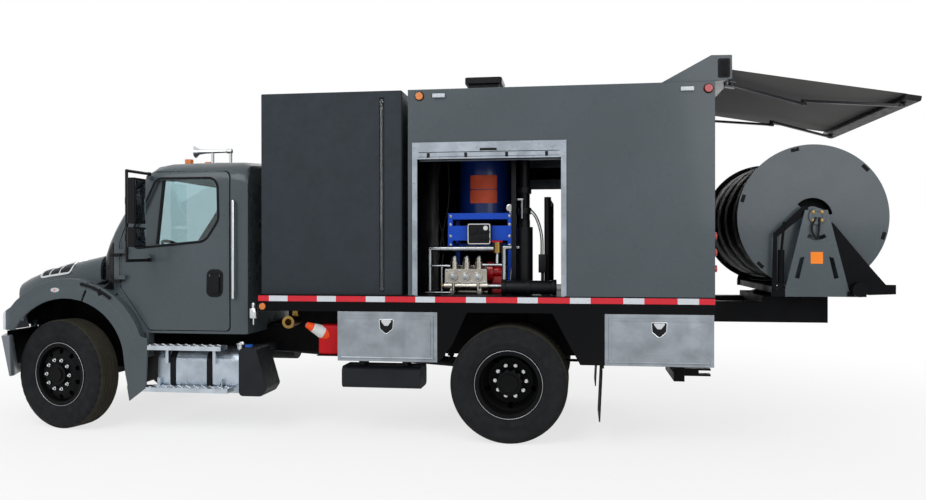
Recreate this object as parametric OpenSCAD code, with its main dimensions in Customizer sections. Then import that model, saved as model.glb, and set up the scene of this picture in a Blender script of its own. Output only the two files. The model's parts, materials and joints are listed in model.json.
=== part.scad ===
// Truck-mounted sewer jetter: a bonneted cab truck with a water tank, a pump bay behind
// roller shutters, a hose reel that slides, swivels and spins at the rear, and an awning.
// Modelled with the rear axle at X = 0, the nose towards -X and the driver's side at -Y.
// Every piece is then shifted so that X = 0 is the middle of the whole length.

/* [Truck] */
// Distance between the axles
wheelbase = 4277; // [4100:10:4700]
// Outside radius of a tyre
tyre_r = 525; // [505:5:540]
// Width of a tyre
tyre_w = 272; // [260:2:284]
// Angle to the right at which the front wheels rest
steer_rest = 12.8; // [0:0.2:18]
// Width over the frame rails
frame_w = 860; // [820:5:890]
// Height of the frame's top
frame_top = 960; // [945:5:990]
// Depth of a frame rail
rail_h = 265; // [230:5:290]

/* [Cab] */
// Half of the cab's width
cab_half = 1060; // [1040:5:1090]
// Height of the roof above its side rounding
roof_z = 2572; // [2520:2:2640]
// Thickness of the cab's walls
cab_wall = 45; // [38:1:55]
// Height of the door's lower edge
door_foot = 955; // [945:1:990]
// Radius of a front wheel arch
arch_r = 700; // [670:5:720]
// Reach of the bumper ahead of the front axle
bumper_reach = 923; // [905:1:960]
// Distance of the mirror bar from the cab's side
mirror_reach = 390; // [340:5:430]

/* [Deck and body] */
// Width of the body
body_w = 2440; // [2400:10:2480]
// Distance of the body's front ahead of the rear axle
body_front = 898; // [860:2:930]
// Distance of the body's tail behind the rear axle
body_tail = 1766; // [1740:2:1860]
// Height of the deck's top
deck_z = 1312; // [1300:2:1330]
// Height of the body above the deck
body_h = 1843; // [1780:5:1900]
// Thickness of the body's side walls
body_wall = 65; // [58:1:75]
// Width of the water tank
tank_w = 2300; // [2240:5:2360]
// Height of a toolbox
toolbox_h = 447; // [420:1:465]
// Length of a toolbox
toolbox_l = 918; // [880:2:930]
// Length of the near shutter's opening
shutter_l = 1275; // [1200:5:1300]
// Height of the shutter openings' head
shutter_head = 2530; // [2480:5:2560]

/* [Jetter] */
// Distance of the reel's axis behind the body
reel_reach = 859; // [845:1:930]
// Height of the reel's axis
reel_z = 2005; // [1990:5:2040]
// Radius of a reel flange
flange_r = 630; // [600:2:660]
// Distance between the reel's flanges
reel_w = 1880; // [1820:5:1900]
// Diameter of the jetting hose
hose_d = 42; // [36:1:46]
// Radius of the hose's wound inner layers
hose_core_r = 540; // [480:5:560]
// Width of the pitch that one turn of hose takes
hose_pitch = 74; // [68:0.5:76]
// Number of turns in the outer layer of hose
hose_turns = 23; // [18:1:23]
// Radius of the reel's shaft
shaft_r = 40; // [34:1:44]

/* [Awning] */
// Length of one awning arm between its pivots
arm_l = 800; // [760:5:830]
// Angle of the upper arms from straight out, at rest
arm_rest = 28; // [22:0.5:34]
// Angle at which the awning slopes down
awning_slope = 10; // [6:0.5:12]
// Distance of the arms' shoulders from the middle
shoulder_y = 1000; // [960:5:1030]

/* [Hidden] */
$fn = 48;
// Clearance of a running pin, and the gap between seated pieces of different bodies
run = 0.06;
gap = 0.3;
// Depth by which a cutting shape passes the surface that it cuts
over = 1;

// Places along the truck
front_x = -wheelbase;
frame_bottom = frame_top - rail_h;
deck_front = front_x + 1972;
tank_tail = -body_front - 67;
half_w = body_w / 2;
roof_top = deck_z + body_h;
frame_tail = body_tail - 30;
bay_front = 640;
reel_x = body_tail + reel_reach;

// Wheels: the rims, the kingpins and the dual rear wheels
seat_r = 284;
lip_r = 303;
rim_b = 115;
hub_r = 100;
bolt_circle = 143;
king_y = 880;
king_r = 24;
spindle_r = 42;
front_wheel_y = 1050;
king_off = front_wheel_y - king_y;
dual_pitch = tyre_w + 63;
rear_wheel_y = half_w - 10 - tyre_w / 2;
rear_spindle_r = 48;

// Awning pivots, in the sloping plane of the arms
shoulder = [body_tail + 181, roof_top + 52];
awning_run = 2 * arm_l * cos(arm_rest);
rail_front = 90;
rail_top = 50;
nose_x = front_x - bumper_reach;
tail_x = shoulder[0] + (awning_run + rail_front) * cos(awning_slope) + rail_top * sin(awning_slope);
mid_x = (nose_x + tail_x) / 2;

// Outline helpers: each corner of a listed outline is [x, y, radius]
function unit(v) = v / norm(v);
function swing(a, b) = (b - a + 540) % 360 - 180;
function bend(a, c, b, r, n) = r == 0 ? [c] : let (
    u = unit(a - c),
    w = unit(b - c),
    half = acos(max(-1, min(1, u * w))) / 2,
    o = c + unit(u + w) * r / sin(half),
    s = c + u * r / tan(half) - o,
    e = c + w * r / tan(half) - o,
    a0 = atan2(s[1], s[0]),
    da = swing(a0, atan2(e[1], e[0])) / n
) [for (i = [0:n]) o + r * [cos(a0 + da * i), sin(a0 + da * i)]];
function flat(p) = [p[0], p[1]];
function soften(p, n = 4) = [for (i = [0:len(p) - 1])
    let (k = len(p), a = flat(p[(i + k - 1) % k]), b = flat(p[(i + 1) % k]))
    each bend(a, flat(p[i]), b, p[i][2], n)];
function arc(c, r, a0, a1, n = 8) =
    [for (i = [0:n]) let (a = a0 + (a1 - a0) * i / n) c + r * [cos(a), sin(a)]];

module block(lo, hi) {
    translate(lo) cube(hi - lo);
}
module side_prism(outline, y0, y1) {
    translate([0, y1, 0]) rotate([90, 0, 0]) linear_extrude(y1 - y0) polygon(outline);
}
module end_prism(outline, x0, x1) {
    translate([x0, 0, 0]) rotate([90, 0, 90]) linear_extrude(x1 - x0) polygon(outline);
}
module plan_prism(outline, z0, z1) {
    translate([0, 0, z0]) linear_extrude(z1 - z0) polygon(outline);
}
module x_pin(x0, x1, y, z, r) {
    translate([x0, y, z]) rotate([0, 90, 0]) cylinder(h = x1 - x0, r = r);
}
module y_pin(x, y0, y1, z, r) {
    translate([x, y1, z]) rotate([90, 0, 0]) cylinder(h = y1 - y0, r = r);
}
module z_pin(x, y, z0, z1, r) {
    translate([x, y, z0]) cylinder(h = z1 - z0, r = r);
}
// Round bar between two points, and a bent bar along a list of points
module bar(a, b, r) {
    d = b - a;
    translate(a) rotate([0, acos(d[2] / norm(d)), atan2(d[1], d[0])]) cylinder(h = norm(d), r = r);
}
module bent_bar(points, r) {
    for (i = [0:len(points) - 2]) bar(points[i], points[i + 1], r);
    for (i = [1:len(points) - 2]) translate(points[i]) sphere(r = r * 1.03);
}
module both() {
    children();
    mirror([0, 1, 0]) children();
}
module right_side() {
    mirror([0, 1, 0]) children();
}
// Solid through a list of rings that all have the same number of points
module loft(rings) {
    n = len(rings);
    m = len(rings[0]);
    sides = [for (k = [0:n - 2], j = [0:m - 1]) let (i = (j + 1) % m) each
        [[k * m + j, k * m + i, k * m + m + i], [k * m + j, k * m + m + i, k * m + m + j]]];
    caps = [[for (j = [m - 1:-1:0]) j], [for (j = [0:m - 1]) (n - 1) * m + j]];
    polyhedron(points = [for (r = rings) each r], faces = concat(sides, caps));
}
// Everything forward of the deck is laid out from the front axle
module from_front_axle() {
    translate([front_x, 0, 0]) children();
}
module placed() {
    translate([-mid_x, 0, 0]) children();
}

// Chassis
module rail_section() {
    t = 9;
    flange = 80;
    web = frame_w / 2;
    cross = [[web, frame_bottom], [web, frame_top], [web - flange, frame_top],
        [web - flange, frame_top - t], [web - t, frame_top - t],
        [web - t, frame_bottom + t], [web - flange, frame_bottom + t], [web - flange, frame_bottom]];
    end_prism(cross, front_x - 640, frame_tail);
}
module chassis_frame() color("#15171b") {
    web = frame_w / 2 - 9;
    both() rail_section();
    for (x = [front_x - 640, front_x + 900, front_x + 1900, -1300, -700, 700, frame_tail - 120])
        block([x, -web, frame_top - 130], [x + 90, web, frame_top - 20]);
    tow_hitch();
    both() spring_hangers();
    from_front_axle() {
        both() {
            block([hood_pivot[0], frame_w / 2 - 30, hood_pivot[1] - 28], [-600, frame_w / 2, hood_pivot[1] + 28]);
            y_pin(hood_pivot[0], frame_w / 2 - 30, frame_w / 2, hood_pivot[1], 28);
        }
        y_pin(hood_pivot[0], -545, 545, hood_pivot[1], 14);
        both() block([-760, frame_w / 2 - 30, spring_eye_z + 27], [-600, frame_w / 2, 800]);
    }
}
// Hook on a bracket under the frame's tail; its eye is the towing mount
hitch_pin_r = 19;
hitch_z = 500;
hitch_x = body_tail + 100;
module tow_hitch() {
    y = frame_w / 2 - 40;
    difference() {
        union() {
            block([frame_tail - 220, -y, hitch_z - 40], [frame_tail - 120, y, hitch_z + 40]);
            both() block([frame_tail - 220, y - 16, hitch_z - 40], [frame_tail - 120, y, frame_bottom + over]);
            block([frame_tail - 130, -45, hitch_z - 38], [hitch_x + 45, 45, hitch_z + 38]);
        }
        block([hitch_x - 70, -60, hitch_z - 18], [hitch_x + 60, 60, hitch_z + 18]);
        z_pin(hitch_x, 0, hitch_z - 60, hitch_z + 60, hitch_pin_r);
    }
}
module spring_hangers() {
    for (s = [[front_x, 640], [0, 640]], d = [-1, 1])
        block([s[0] + d * s[1] - 30, spring_y - 20, spring_eye_z + 16 + gap],
            [s[0] + d * s[1] + 30, spring_y + 20, frame_bottom + over]);
}

// Axles with their leaf springs
spring_y = frame_w / 2 - 45;
spring_eye_z = frame_bottom - 42;
module leaf_spring(x, foot) {
    leaf = 15;
    half = 640;
    sag = spring_eye_z - foot - 3 * leaf;
    r = (half * half + sag * sag) / (2 * sag);
    o = [x, spring_eye_z - sag + r];
    for (k = [0:2]) let (a = asin((half - k * 170) / r))
        side_prism(concat(arc(o, r + k * leaf, 270 - a, 270 + a, 10),
            arc(o, r + k * leaf + leaf + (k < 2 ? 2 : 0), 270 + a, 270 - a, 10)), spring_y - 38, spring_y + 38);
    for (d = [-1, 1]) y_pin(x + d * half, spring_y - 38, spring_y + 38, spring_eye_z - 8, 24);
}
module axles_and_springs() color("#1b1d21") {
    front_foot = tyre_r + 22;
    rear_foot = tyre_r + 86;
    from_front_axle() difference() {
        union() {
            k = king_y;
            beam = [[-k, -52], [-690, -52], [-600, -110], [600, -110], [690, -52], [k, -52],
                [k, 52], [700, 40], [600, -10], [-600, -10], [-700, 40], [-k, 52]];
            end_prism([for (p = beam) p + [0, tyre_r]], -45, 45);
            both() z_pin(0, king_y, tyre_r - 60, tyre_r + 60, 50);
            both() block([-60, spring_y - 45, tyre_r - 30], [60, spring_y + 45, front_foot + 4]);
        }
        both() z_pin(0, king_y, tyre_r - 80, tyre_r + 80, king_r + run);
    }
    both() leaf_spring(front_x, front_foot);
    tube_end = rear_wheel_y - 300 - gap;
    y_pin(0, -tube_end, tube_end, tyre_r, 70);
    translate([0, 0, tyre_r]) sphere(r = 190);
    both() y_pin(0, tube_end - over, rear_wheel_y - 62, tyre_r, rear_spindle_r);
    both() block([-70, spring_y - 45, tyre_r], [70, spring_y + 45, rear_foot + 4]);
    both() leaf_spring(0, rear_foot);
}

// Engine, gearbox, propeller shaft, radiator and exhaust
module drivetrain() color("#2a2c2f") {
    half = frame_w / 2 - 110;
    from_front_axle() {
        block([-480, -half, 740], [150, half, 1180]);
        block([-440, -half + 70, 1180 - over], [120, half - 70, 1330]);
        x_pin(140, 420, 0, 830, 200);
        block([400, -150, 690], [880, 150, 905]);
        block([-640, -330, frame_top - 20], [-560, 330, frame_top + 12 + over]);
        block([-640, -430, frame_top + 12], [-560, 430, 1290]);
        both() block([-220, half - over, 760], [-140, frame_w / 2 - 9 - gap, 840]);
    }
    bar([front_x + 870, 0, 740], [-230, 0, tyre_r], 50);
    x_pin(-250, -190 - gap, 0, tyre_r, 50);
    x_pin(front_x + 1000, front_x + 1700, frame_w / 2 + 190, 640, 170);
    bar([front_x + 1690, frame_w / 2 + 190, 640], [front_x + 2300, frame_w / 2 + 190, 640], 60);
    for (x = [front_x + 1100, front_x + 1600])
        block([x - 20, frame_w / 2, 700], [x + 20, frame_w / 2 + 60, 780]);
}

// Fuel tank on the driver's side, with the two cab steps on its face
tank_face = 1030;
module fuel_tank_and_steps() color("#b4bcc2") {
    from_front_axle() {
        tank = soften([[-tank_face, 340, 120], [-540, 340, 120], [-540, 765, 120], [-tank_face, 765, 120]]);
        end_prism(tank, 882, 1712);
        for (s = [1010, 1380]) difference() {
            end_prism(soften([[-tank_face - 7, 333, 120], [-533, 333, 120], [-533, 772, 120],
                [-tank_face - 7, 772, 120]]), s, s + 55);
            end_prism(soften([[-tank_face + 2, 342, 118], [-542, 342, 118], [-542, 763, 118],
                [-tank_face + 2, 763, 118]]), s - over, s + 55 + over);
        }
        for (x = [950, 1640]) block([x - 30, -620, frame_bottom + 2], [x + 30, -frame_w / 2, frame_bottom + 45]);
        z_pin(1650, -tank_face + 180, 750, 800, 50);
        for (t = [[arch[0] + arch_r + 88, 1590, 778, 640, 780], [730, 1656, 384, 382, 500]]) {
            step_tread(t[0], t[1], t[2], 42);
            for (x = [t[0] + 180, t[1] - 120]) block([x - 15, -tank_face - 40, t[3]], [x + 15, -tank_face + 5, t[4]]);
        }
    }
}
module step_tread(x0, x1, z, h) {
    face = tank_face + 155;
    difference() {
        block([x0, -face, z], [x1, -tank_face - 9, z + h]);
        block([x0 + 12, -face + 12, z - over], [x1 - 12, -tank_face - 20, z + h - 8]);
        for (x = [x0 + 60:80:x1 - 60], y = [face - 45, face - 105])
            z_pin(x, -y, z + h - 12, z + h + over, 16);
        side_prism([[600, 260], [668, 280], [840, 410], [857, 829], [852, 940], [600, 940]],
            -fender_y - 40, -fender_y + 25);
    }
}
// Urea tank behind the fuel tank, and a long narrow tank under the front toolbox
module plastic_tanks() color("#26282c") {
    from_front_axle() {
        side_prism(soften([[1732, 350, 40], [1960, 350, 50], [2010, 430, 40], [1900, 800, 50], [1732, 800, 40]]), -1110, -760);
        block([1770, -761, 720], [1850, -frame_w / 2, 790]);
        z_pin(1790, -1000, 790, 822, 38);
    }
    tank = soften([[-1110, 452, 45], [-790, 452, 45], [-790, 652, 45], [-1110, 652, 45]]);
    end_prism(tank, box_1 + 5, box_1 + 742);
    for (x = [box_1 + 150, box_1 + 560]) block([x, -1040, 640], [x + 50, -860, toolbox_foot]);
}

// Cab: rings along the truck, each [distance behind the front axle, half width, height, radius]
cab_rings = [[282, 0.877, 1700, 60], [360, 0.94, 1828, 90], [440, 0.98, 1955, 110],
    [520, 1, 2080, 130], [757, 1, 2470, 170], [860, 1, 2540, 185], [972, 1, roof_z - 10, 195],
    [1400, 1, roof_z, 200], [1700, 1, roof_z - 4, 200], [1775, 0.99, roof_z - 30, 195],
    [1797, 0.98, roof_z - 70, 170]];
cab_floor = door_foot - 30;
crown = 42;
// Rise of the crown at this distance from the middle, for a roof whose flat part has this half width
function crown_at(d, half) = crown * (d > half / 2 ? 1.5 * (half - d) / half : 1 - 0.5 * d / half);
function cab_ring(u, w, top, r, foot) = concat([[u, -w, foot]],
    [for (i = [0:4]) [u, -w + r - r * cos(22.5 * i), top - r + r * sin(22.5 * i)]],
    [[u, -(w - r) / 2, top + crown * 0.75], [u, 0, top + crown], [u, (w - r) / 2, top + crown * 0.75]],
    [for (i = [4:-1:0]) [u, w - r + r * cos(22.5 * i), top - r + r * sin(22.5 * i)]],
    [[u, w, foot]]);
module cab_solid() {
    under = [[200, 700], [200, 1210], [470, 1310], [748, cab_floor], [1900, cab_floor], [1900, 700]];
    difference() {
        loft([for (c = cab_rings) cab_ring(c[0], c[1] * cab_half, c[2], c[3], 800)]);
        side_prism(under, -1300, 1300);
        block([600, -560, 700], [1900, 560, cab_floor + 65]);
    }
}
module cab_space() {
    t = cab_wall;
    floor_line = [[200, 700], [200, 1240], [500, 1370], [745, cab_floor + 115], [1900, cab_floor + 115], [1900, 700]];
    difference() {
        loft([for (c = cab_rings) cab_ring(c[0] + (c[0] < 800 ? 62 : c[0] > 1750 ? -t : 0),
            c[1] * cab_half - t, c[2] - t, c[3] - 25, 800)]);
        side_prism(floor_line, -1300, 1300);
    }
}
// Outlines in the plane of the door: the door, its window and the bar that divides the window
door_top = roof_z - 102;
function door_outline(g) = soften([[806 - g, door_foot - g, 40], [1620 + 2 * g, door_foot - g, 40],
    [1620 + 2 * g, door_top + g, 70], [792 - g, door_top + g, 90], [507 - g, 1800, 150], [507 - g, 1380, 50]]);
function window_outline(g) = soften([[640 - g, 1752 - g, 60], [1370 + g, 1818 - g, 120],
    [1498 + g, 2010, 120], [1490 + g, door_top - 78 + g, 80], [900 - g, door_top - 78 + g, 60], [655 - g, 1900, 120]]);
bar_foot = [875, 1767];
bar_head = [947, door_top - 60];
bar_lean = unit(bar_head - bar_foot);
door_in = cab_half - 92;
pane_y = cab_half - 42;
hinge_u = 530;
hinge_y = cab_half + 40;
hinge_r = 8;
hinge_z = [1440, 1690];
module windscreen_hole(g) {
    w = cab_half;
    end_prism(soften([[-0.80 * w + g, 1768 + g, 70], [0.80 * w - g, 1768 + g, 70],
        [0.86 * w - g, 2440 - g, 90], [-0.86 * w + g, 2440 - g, 90]]), 150, 800);
}
module rear_window_hole(g) {
    end_prism(soften([[-520 + g, 1930 + g, 60], [520 - g, 1930 + g, 60], [520 - g, 2330 - g, 60],
        [-520 + g, 2330 - g, 60]]), 1690, 1850);
}
// Cab's half of a door hinge: an arm outside the door with the pin standing on it
module door_pivots() {
    for (z = hinge_z) {
        block([440, -hinge_y - 12, z - 30], [hinge_u, -cab_half - 10, z - gap]);
        block([440, -cab_half - 11, z - 30], [488, -cab_half + 40, z - gap]);
        z_pin(hinge_u, -hinge_y, z - 30, z - gap, 14);
        z_pin(hinge_u, -hinge_y, z - 10, z + 38, hinge_r);
    }
}
module cab_shell() color("#4b5356") from_front_axle() {
    difference() {
        cab_solid();
        cab_space();
        both() side_prism(door_outline(6), -1300, -door_in + 30);
        windscreen_hole(0);
        rear_window_hole(0);
        block([420, -420, 1400], [470, -300, 1520]);
    }
    both() door_pivots();
    both() quarter_fender();
    both() for (x = [800, 1650]) block([x, -frame_w / 2, frame_top], [x + 100, -frame_w / 2 + 80, cab_floor + 66]);
}
// Rear quarter of the front fender, fixed under the cab
arch = [27, 660];
split_a = 74;
fender_y = cab_half + 110;
fender_band = 88;
function rear_fender(r0, r1) = concat(arc(arch, r1, split_a, 18, 8), [[846, 880], [851, 829], [834, 416], [664, 288],
    [642, 420], [arch[0] + r0 * cos(14), arch[1] + r0 * sin(14)]], arc(arch, r0, 32, split_a, 6));
module quarter_fender() {
    side_prism(rear_fender(arch_r, arch_r + fender_band), -fender_y, -fender_y + 22);
    side_prism(concat(arc(arch, arch_r + fender_band, split_a, 12, 8), arc(arch, arch_r + 65, 12, split_a, 8)),
        -fender_y, -cab_half + 90);
    block([arch[0] + arch_r + 60, -cab_half - 20, 700], [arch[0] + arch_r + 85, -cab_half + 90, cab_floor + 20]);
}
module cab_glass() color("#20262b") from_front_axle() {
    intersection() {
        difference() {
            cab_solid();
            translate([7, 0, -7]) cab_solid();
        }
        windscreen_hole(gap);
    }
    intersection() {
        rear_window_hole(gap);
        block([1775, -700, 1800], [1783, 700, 2500]);
    }
}
// Dashboard, seats, pedals' board and steering column
column_foot = [560, -420, 1330];
column_lean = 35;
column_l = 463;
module on_column() {
    translate(column_foot) rotate([0, column_lean, 0]) children();
}
// Foot of the dashboard's bracket on the cab's sloping floor
function floor_at(u) = 1370 + (cab_floor + 115 - 1370) * (u - 500) / 245 + gap;
module cab_interior() color("#222428") from_front_axle() {
    w = cab_half - 130;
    side_prism(soften([[520, 1450, 20], [700, 1450, 60], [720, 1690, 60], [520, 1720, 40]]), -w, w);
    for (x = [[-640, -180], [180, 640]]) {
        block([1130, x[0] + 60, cab_floor + 115], [1480, x[1] - 60, 1340 + over]);
        side_prism(soften([[1080, 1340, 50], [1560, 1340, 40], [1560, 1470, 40], [1080, 1480, 60]]), x[0], x[1]);
        side_prism(soften([[1435, 1455, 30], [1555, 1455, 40], [1670, 2015, 40], [1560, 2015, 40]]), x[0] + 20, x[1] - 20);
        side_prism(soften([[1580, 2015 + gap, 10], [1656, 2015 + gap, 10], [1690, 2240, 34], [1610, 2240, 34]]),
            x[0] + 110, x[1] - 110);
    }
    side_prism([[540, floor_at(540)], [640, floor_at(640)], [640, 1451], [540, 1451]], -110, 110);
    on_column() {
        cylinder(h = column_l - 100, r = 30);
        cylinder(h = column_l, r = 12);
    }
}
module steering_wheel() color("#1d1f22") from_front_axle() on_column() translate([0, 0, column_l - 23]) {
    rotate_extrude() translate([215, 0]) circle(r = 16);
    difference() {
        union() {
            translate([0, 0, -30]) cylinder(h = 60, r = 60);
            for (a = [30, 150, 270]) rotate([0, 0, a]) translate([40, -20, -8]) cube([165, 40, 16]);
        }
        translate([0, 0, -40]) cylinder(h = 63 + run, r = 12 + run);
    }
}
// Air horn on the roof, and the grab rails behind the doors
module cab_brightwork() color("#d8dcdf") from_front_axle() {
    translate([1057, -600, 2712]) rotate([0, 90, 0]) rotate_extrude()
        polygon([[0, 60], [20, 60], [24, 12], [60, 0], [62, 4], [30, 40], [20, 110], [15, 330], [24, 345], [24, 390], [0, 390]]);
    for (p = [[1230, 3.4], [1420, 0.3]])
        block([p[0], -612, roof_z - p[1] + crown_at(588, cab_half - 198) + gap], [p[0] + 24, -588, 2705]);
    both() bent_bar([[1680, -cab_half - gap, 1274], [1680, -cab_half - 50, 1274], [1680, -cab_half - 50, 2179],
        [1680, -cab_half - gap, 2179]], 15);
}

// Hood: rings like the cab's, with a fender on each side
hood_rings = [[-855, 640, 1290, 80], [-815, 715, 1385, 105], [-700, 765, 1440, 130], [-500, 820, 1512, 150],
    [-150, 872, 1596, 150], [210, 905, 1668, 130]];
hood_foot = 945;
hood_pivot = [-790, hood_foot - 5];
lamp_lo = [-900, -fender_y + 10, 935];
lamp_hi = [-640, -fender_y + 380, 1150];
module hood_solid(t) {
    last = len(hood_rings) - 1;
    loft([for (i = [0:last]) let (h = hood_rings[i])
        cab_ring(h[0] + (i < 2 ? t : i == last ? (t > 0 ? 60 : 0) : 0), h[1] * cab_half / 1060 - t, h[2] - t, h[3] - t / 2, hood_foot - (t > 0 ? 200 : 0))]);
}
function hood_fender(r0, r1, d) = concat(arc(arch, r1, split_a + 0.2, 140, 10),
    [[-735 + d, 1085], [-752 + d, hood_foot - (d > 0 ? 200 : 0)]], arc(arch, r0, 156, split_a + 0.2, 10));
module fender_plan(t) {
    plan_prism(soften([[300, -fender_y + t, 0], [-735 + t, -fender_y + t, 230], [-835 + t, -560, 40], [300, -560, 0]], 6), 600, 1700);
}
module fender_solid() {
    intersection() {
        side_prism(hood_fender(arch_r, arch_r + fender_band, 0), -fender_y, -600);
        fender_plan(0);
    }
}
module fender_space() {
    intersection() {
        side_prism(concat(arc(arch, arch_r + 72, split_a - 6, 141, 10), [[-712, 1085], [-728, 700], [300, 700]]), -fender_y + 20, -560);
        fender_plan(22);
    }
}
module hood() color("#4b5356") from_front_axle() {
    difference() {
        union() {
            hood_solid(0);
            both() fender_solid();
        }
        hood_solid(28);
        both() fender_space();
        both() side_prism(arc(arch, arch_r, 0, 359, 36), -fender_y - 10, -500);
        both() block(lamp_lo, lamp_hi);
        end_prism(soften([[-430, 1000, 30], [430, 1000, 30], [470, 1260, 30], [-470, 1260, 30]]), -900, -700);
        block([-900, -420, hood_foot - over], [-700, 420, hood_foot + 14]);
    }
    difference() {
        both() {
            block([hood_pivot[0] - 30, 500, hood_pivot[1] - 34], [hood_pivot[0] + 30, 540, hood_foot + 40]);
            block([-845, 500, hood_foot], [hood_pivot[0] + 30, 540, hood_foot + 40]);
        }
        y_pin(hood_pivot[0], -600, 600, hood_pivot[1], 14 + run);
    }
}
module grille_and_lamps() color("#c9ced2") from_front_axle() {
    both() intersection() {
        difference() {
            fender_solid();
            translate([34, 34, 0]) fender_solid();
        }
        block(lamp_lo + [0, 0, gap], lamp_hi - [gap, gap, gap]);
    }
    for (z = [1012, 1062, 1112, 1162, 1212]) let (y = z < 1040 ? 418 : 428) block([-845, -y, z], [-800, y, z + 26]);
    both() block([-842, 372, 1000 + gap], [-812, 392, 1255]);
}
// Bumper: a bar bowed in plan, leaning back towards its foot
function bow(y, half) = 249 * pow(abs(y) / half, 3);
function bumper_ring(z, lean) = let (half = fender_y - 5, t = 58, n = 24) concat(
    [for (i = [0:n]) let (y = -half + 2 * half * i / n) [-bumper_reach + lean + bow(y, half), y, z]],
    [[-590 + lean * 0.2, half, z], [-590 + lean * 0.2, half - t, z]],
    [for (i = [n - 2:-1:2]) let (y = -half + 2 * half * i / n) [-bumper_reach + lean + t + bow(y, half), y, z]],
    [[-590 + lean * 0.2, -half + t, z], [-590 + lean * 0.2, -half, z]]);
module front_bumper() color("#9aa1a6") from_front_axle() {
    loft([bumper_ring(495, 85), bumper_ring(889, 0)]);
    both() block([-870, frame_w / 2 - 60, 660], [-760, frame_w / 2, 780]);
}

// Doors, with the parts that ride on them; all are drawn for the driver's side
mirror_u = 835;
mirror_y = cab_half + 36;
mirror_pin_r = 9;
handle_u = 1482;
handle_z = 1480;
handle_y = cab_half + 14;
handle_pin_r = 4;
module division_bar(t) {
    n = [bar_lean[1], -bar_lean[0]] * 13;
    side_prism([bar_foot - 60 * bar_lean - n, bar_foot - 60 * bar_lean + n, bar_head + 60 * bar_lean + n,
        bar_head + 60 * bar_lean - n], -pane_y - t, -pane_y + t);
}
module pane(g, t) {
    side_prism(window_outline(g), -pane_y - t, -pane_y + t);
}
// Region of the window plane behind the division bar, down into the door
module behind_bar(d) {
    n = [bar_lean[1], -bar_lean[0]] * d;
    side_prism([bar_foot - 200 * bar_lean + n, [1700, 1500], [1700, 2600], bar_head + 200 * bar_lean + n],
        -pane_y - 40, -pane_y + 40);
}
module door() {
    slot = 3 + gap;
    difference() {
        union() {
            difference() {
                intersection() {
                    cab_solid();
                    side_prism(door_outline(0), -1300, -door_in);
                }
                side_prism(window_outline(0), -1300, -800);
                block([560, -cab_half + 62, 1880], [1700, -door_in + over, 2700]);
            }
            intersection() {
                division_bar(14);
                side_prism(window_outline(20), -1300, -800);
            }
            for (x = [handle_u - 54, handle_u + 44]) block([x, -handle_y - 10, handle_z - 12],
                [x + 10, -cab_half + 2, handle_z + 12]);
            for (z = hinge_z) {
                block([hinge_u, -hinge_y - 12, z], [hinge_u + 60, -cab_half + 6, z + 40]);
                z_pin(hinge_u, -hinge_y, z, z + 40, 14);
            }
            for (z = [1645, 2402]) block([mirror_u - 20, -mirror_y - 22, z], [mirror_u + 20, -cab_half + 14, z + 28]);
        }
        pane(14, slot);
        block([856, -pane_y - slot, 1700], [1512, -pane_y + slot, 2100]);
        side_prism(soften([[620, 1380, 40], [860, 1010, 40], [1570, 1010, 40], [1570, 1800, 40], [1370, 1800, 20], [640, 1735, 20]]),
            -cab_half + 14, -door_in - 14);
        for (z = hinge_z) z_pin(hinge_u, -hinge_y, z - 10, z + 50, hinge_r + run);
        for (z = [1640, 2397]) z_pin(mirror_u, -mirror_y, z, z + 40, mirror_pin_r + run);
    }
    x_pin(handle_u - 50, handle_u + 50, -handle_y, handle_z, handle_pin_r);
    difference() {
        pane(14 - gap, 3);
        behind_bar(-8);
    }
}
module left_door() color("#4b5356") from_front_axle() door();
module right_door() color("#4b5356") from_front_axle() right_side() door();
module door_window() {
    intersection() {
        union() {
            pane(12, 3);
            side_prism([[880, 1690], [1470, 1690], [1470, 1900], [880, 1900]], -pane_y - 3, -pane_y + 3);
        }
        behind_bar(-4);
    }
}
module left_window() color("#2a3238") from_front_axle() door_window();
module right_window() color("#2a3238") from_front_axle() right_side() door_window();
module door_handle() {
    difference() {
        block([handle_u - 43, -handle_y - 7, handle_z - 165], [handle_u + 43, -handle_y + 7, handle_z + 8]);
        x_pin(handle_u - 60, handle_u + 60, -handle_y, handle_z, handle_pin_r + run);
        block([handle_u - 30, -handle_y - 1, handle_z - 166], [handle_u + 30, -handle_y + 8, handle_z - 14]);
    }
}
module left_door_handle() color("#1a1c20") from_front_axle() door_handle();
module right_door_handle() color("#1a1c20") from_front_axle() right_side() door_handle();
module mirror_arm() {
    out = cab_half + mirror_reach;
    tube = 14;
    bent_bar([[mirror_u, -mirror_y, 2448], [811, -out, 2448], [811, -out, 1626], [mirror_u, -mirror_y, 1626]], tube);
    z_pin(mirror_u, -mirror_y, 2396, 2462, mirror_pin_r);
    z_pin(mirror_u, -mirror_y, 2430 + gap, 2464, 18);
    z_pin(mirror_u, -mirror_y, 1612, 1680, mirror_pin_r);
    z_pin(mirror_u, -mirror_y, 1610, 1645 - gap, 18);
    for (h = [[1965, 2380], [1750, 1932]]) {
        plan_prism(soften([[838, -out - 60, 30], [925, -out - 70, 12], [925, -out + 135, 12], [838, -out + 120, 30]]), h[0], h[1]);
        block([800, -out - 16, (h[0] + h[1]) / 2 - 30], [845, -out + 16, (h[0] + h[1]) / 2 + 30]);
    }
}
module left_mirror() color("#8f969b") from_front_axle() mirror_arm();
module right_mirror() color("#8f969b") from_front_axle() right_side() mirror_arm();

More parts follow.
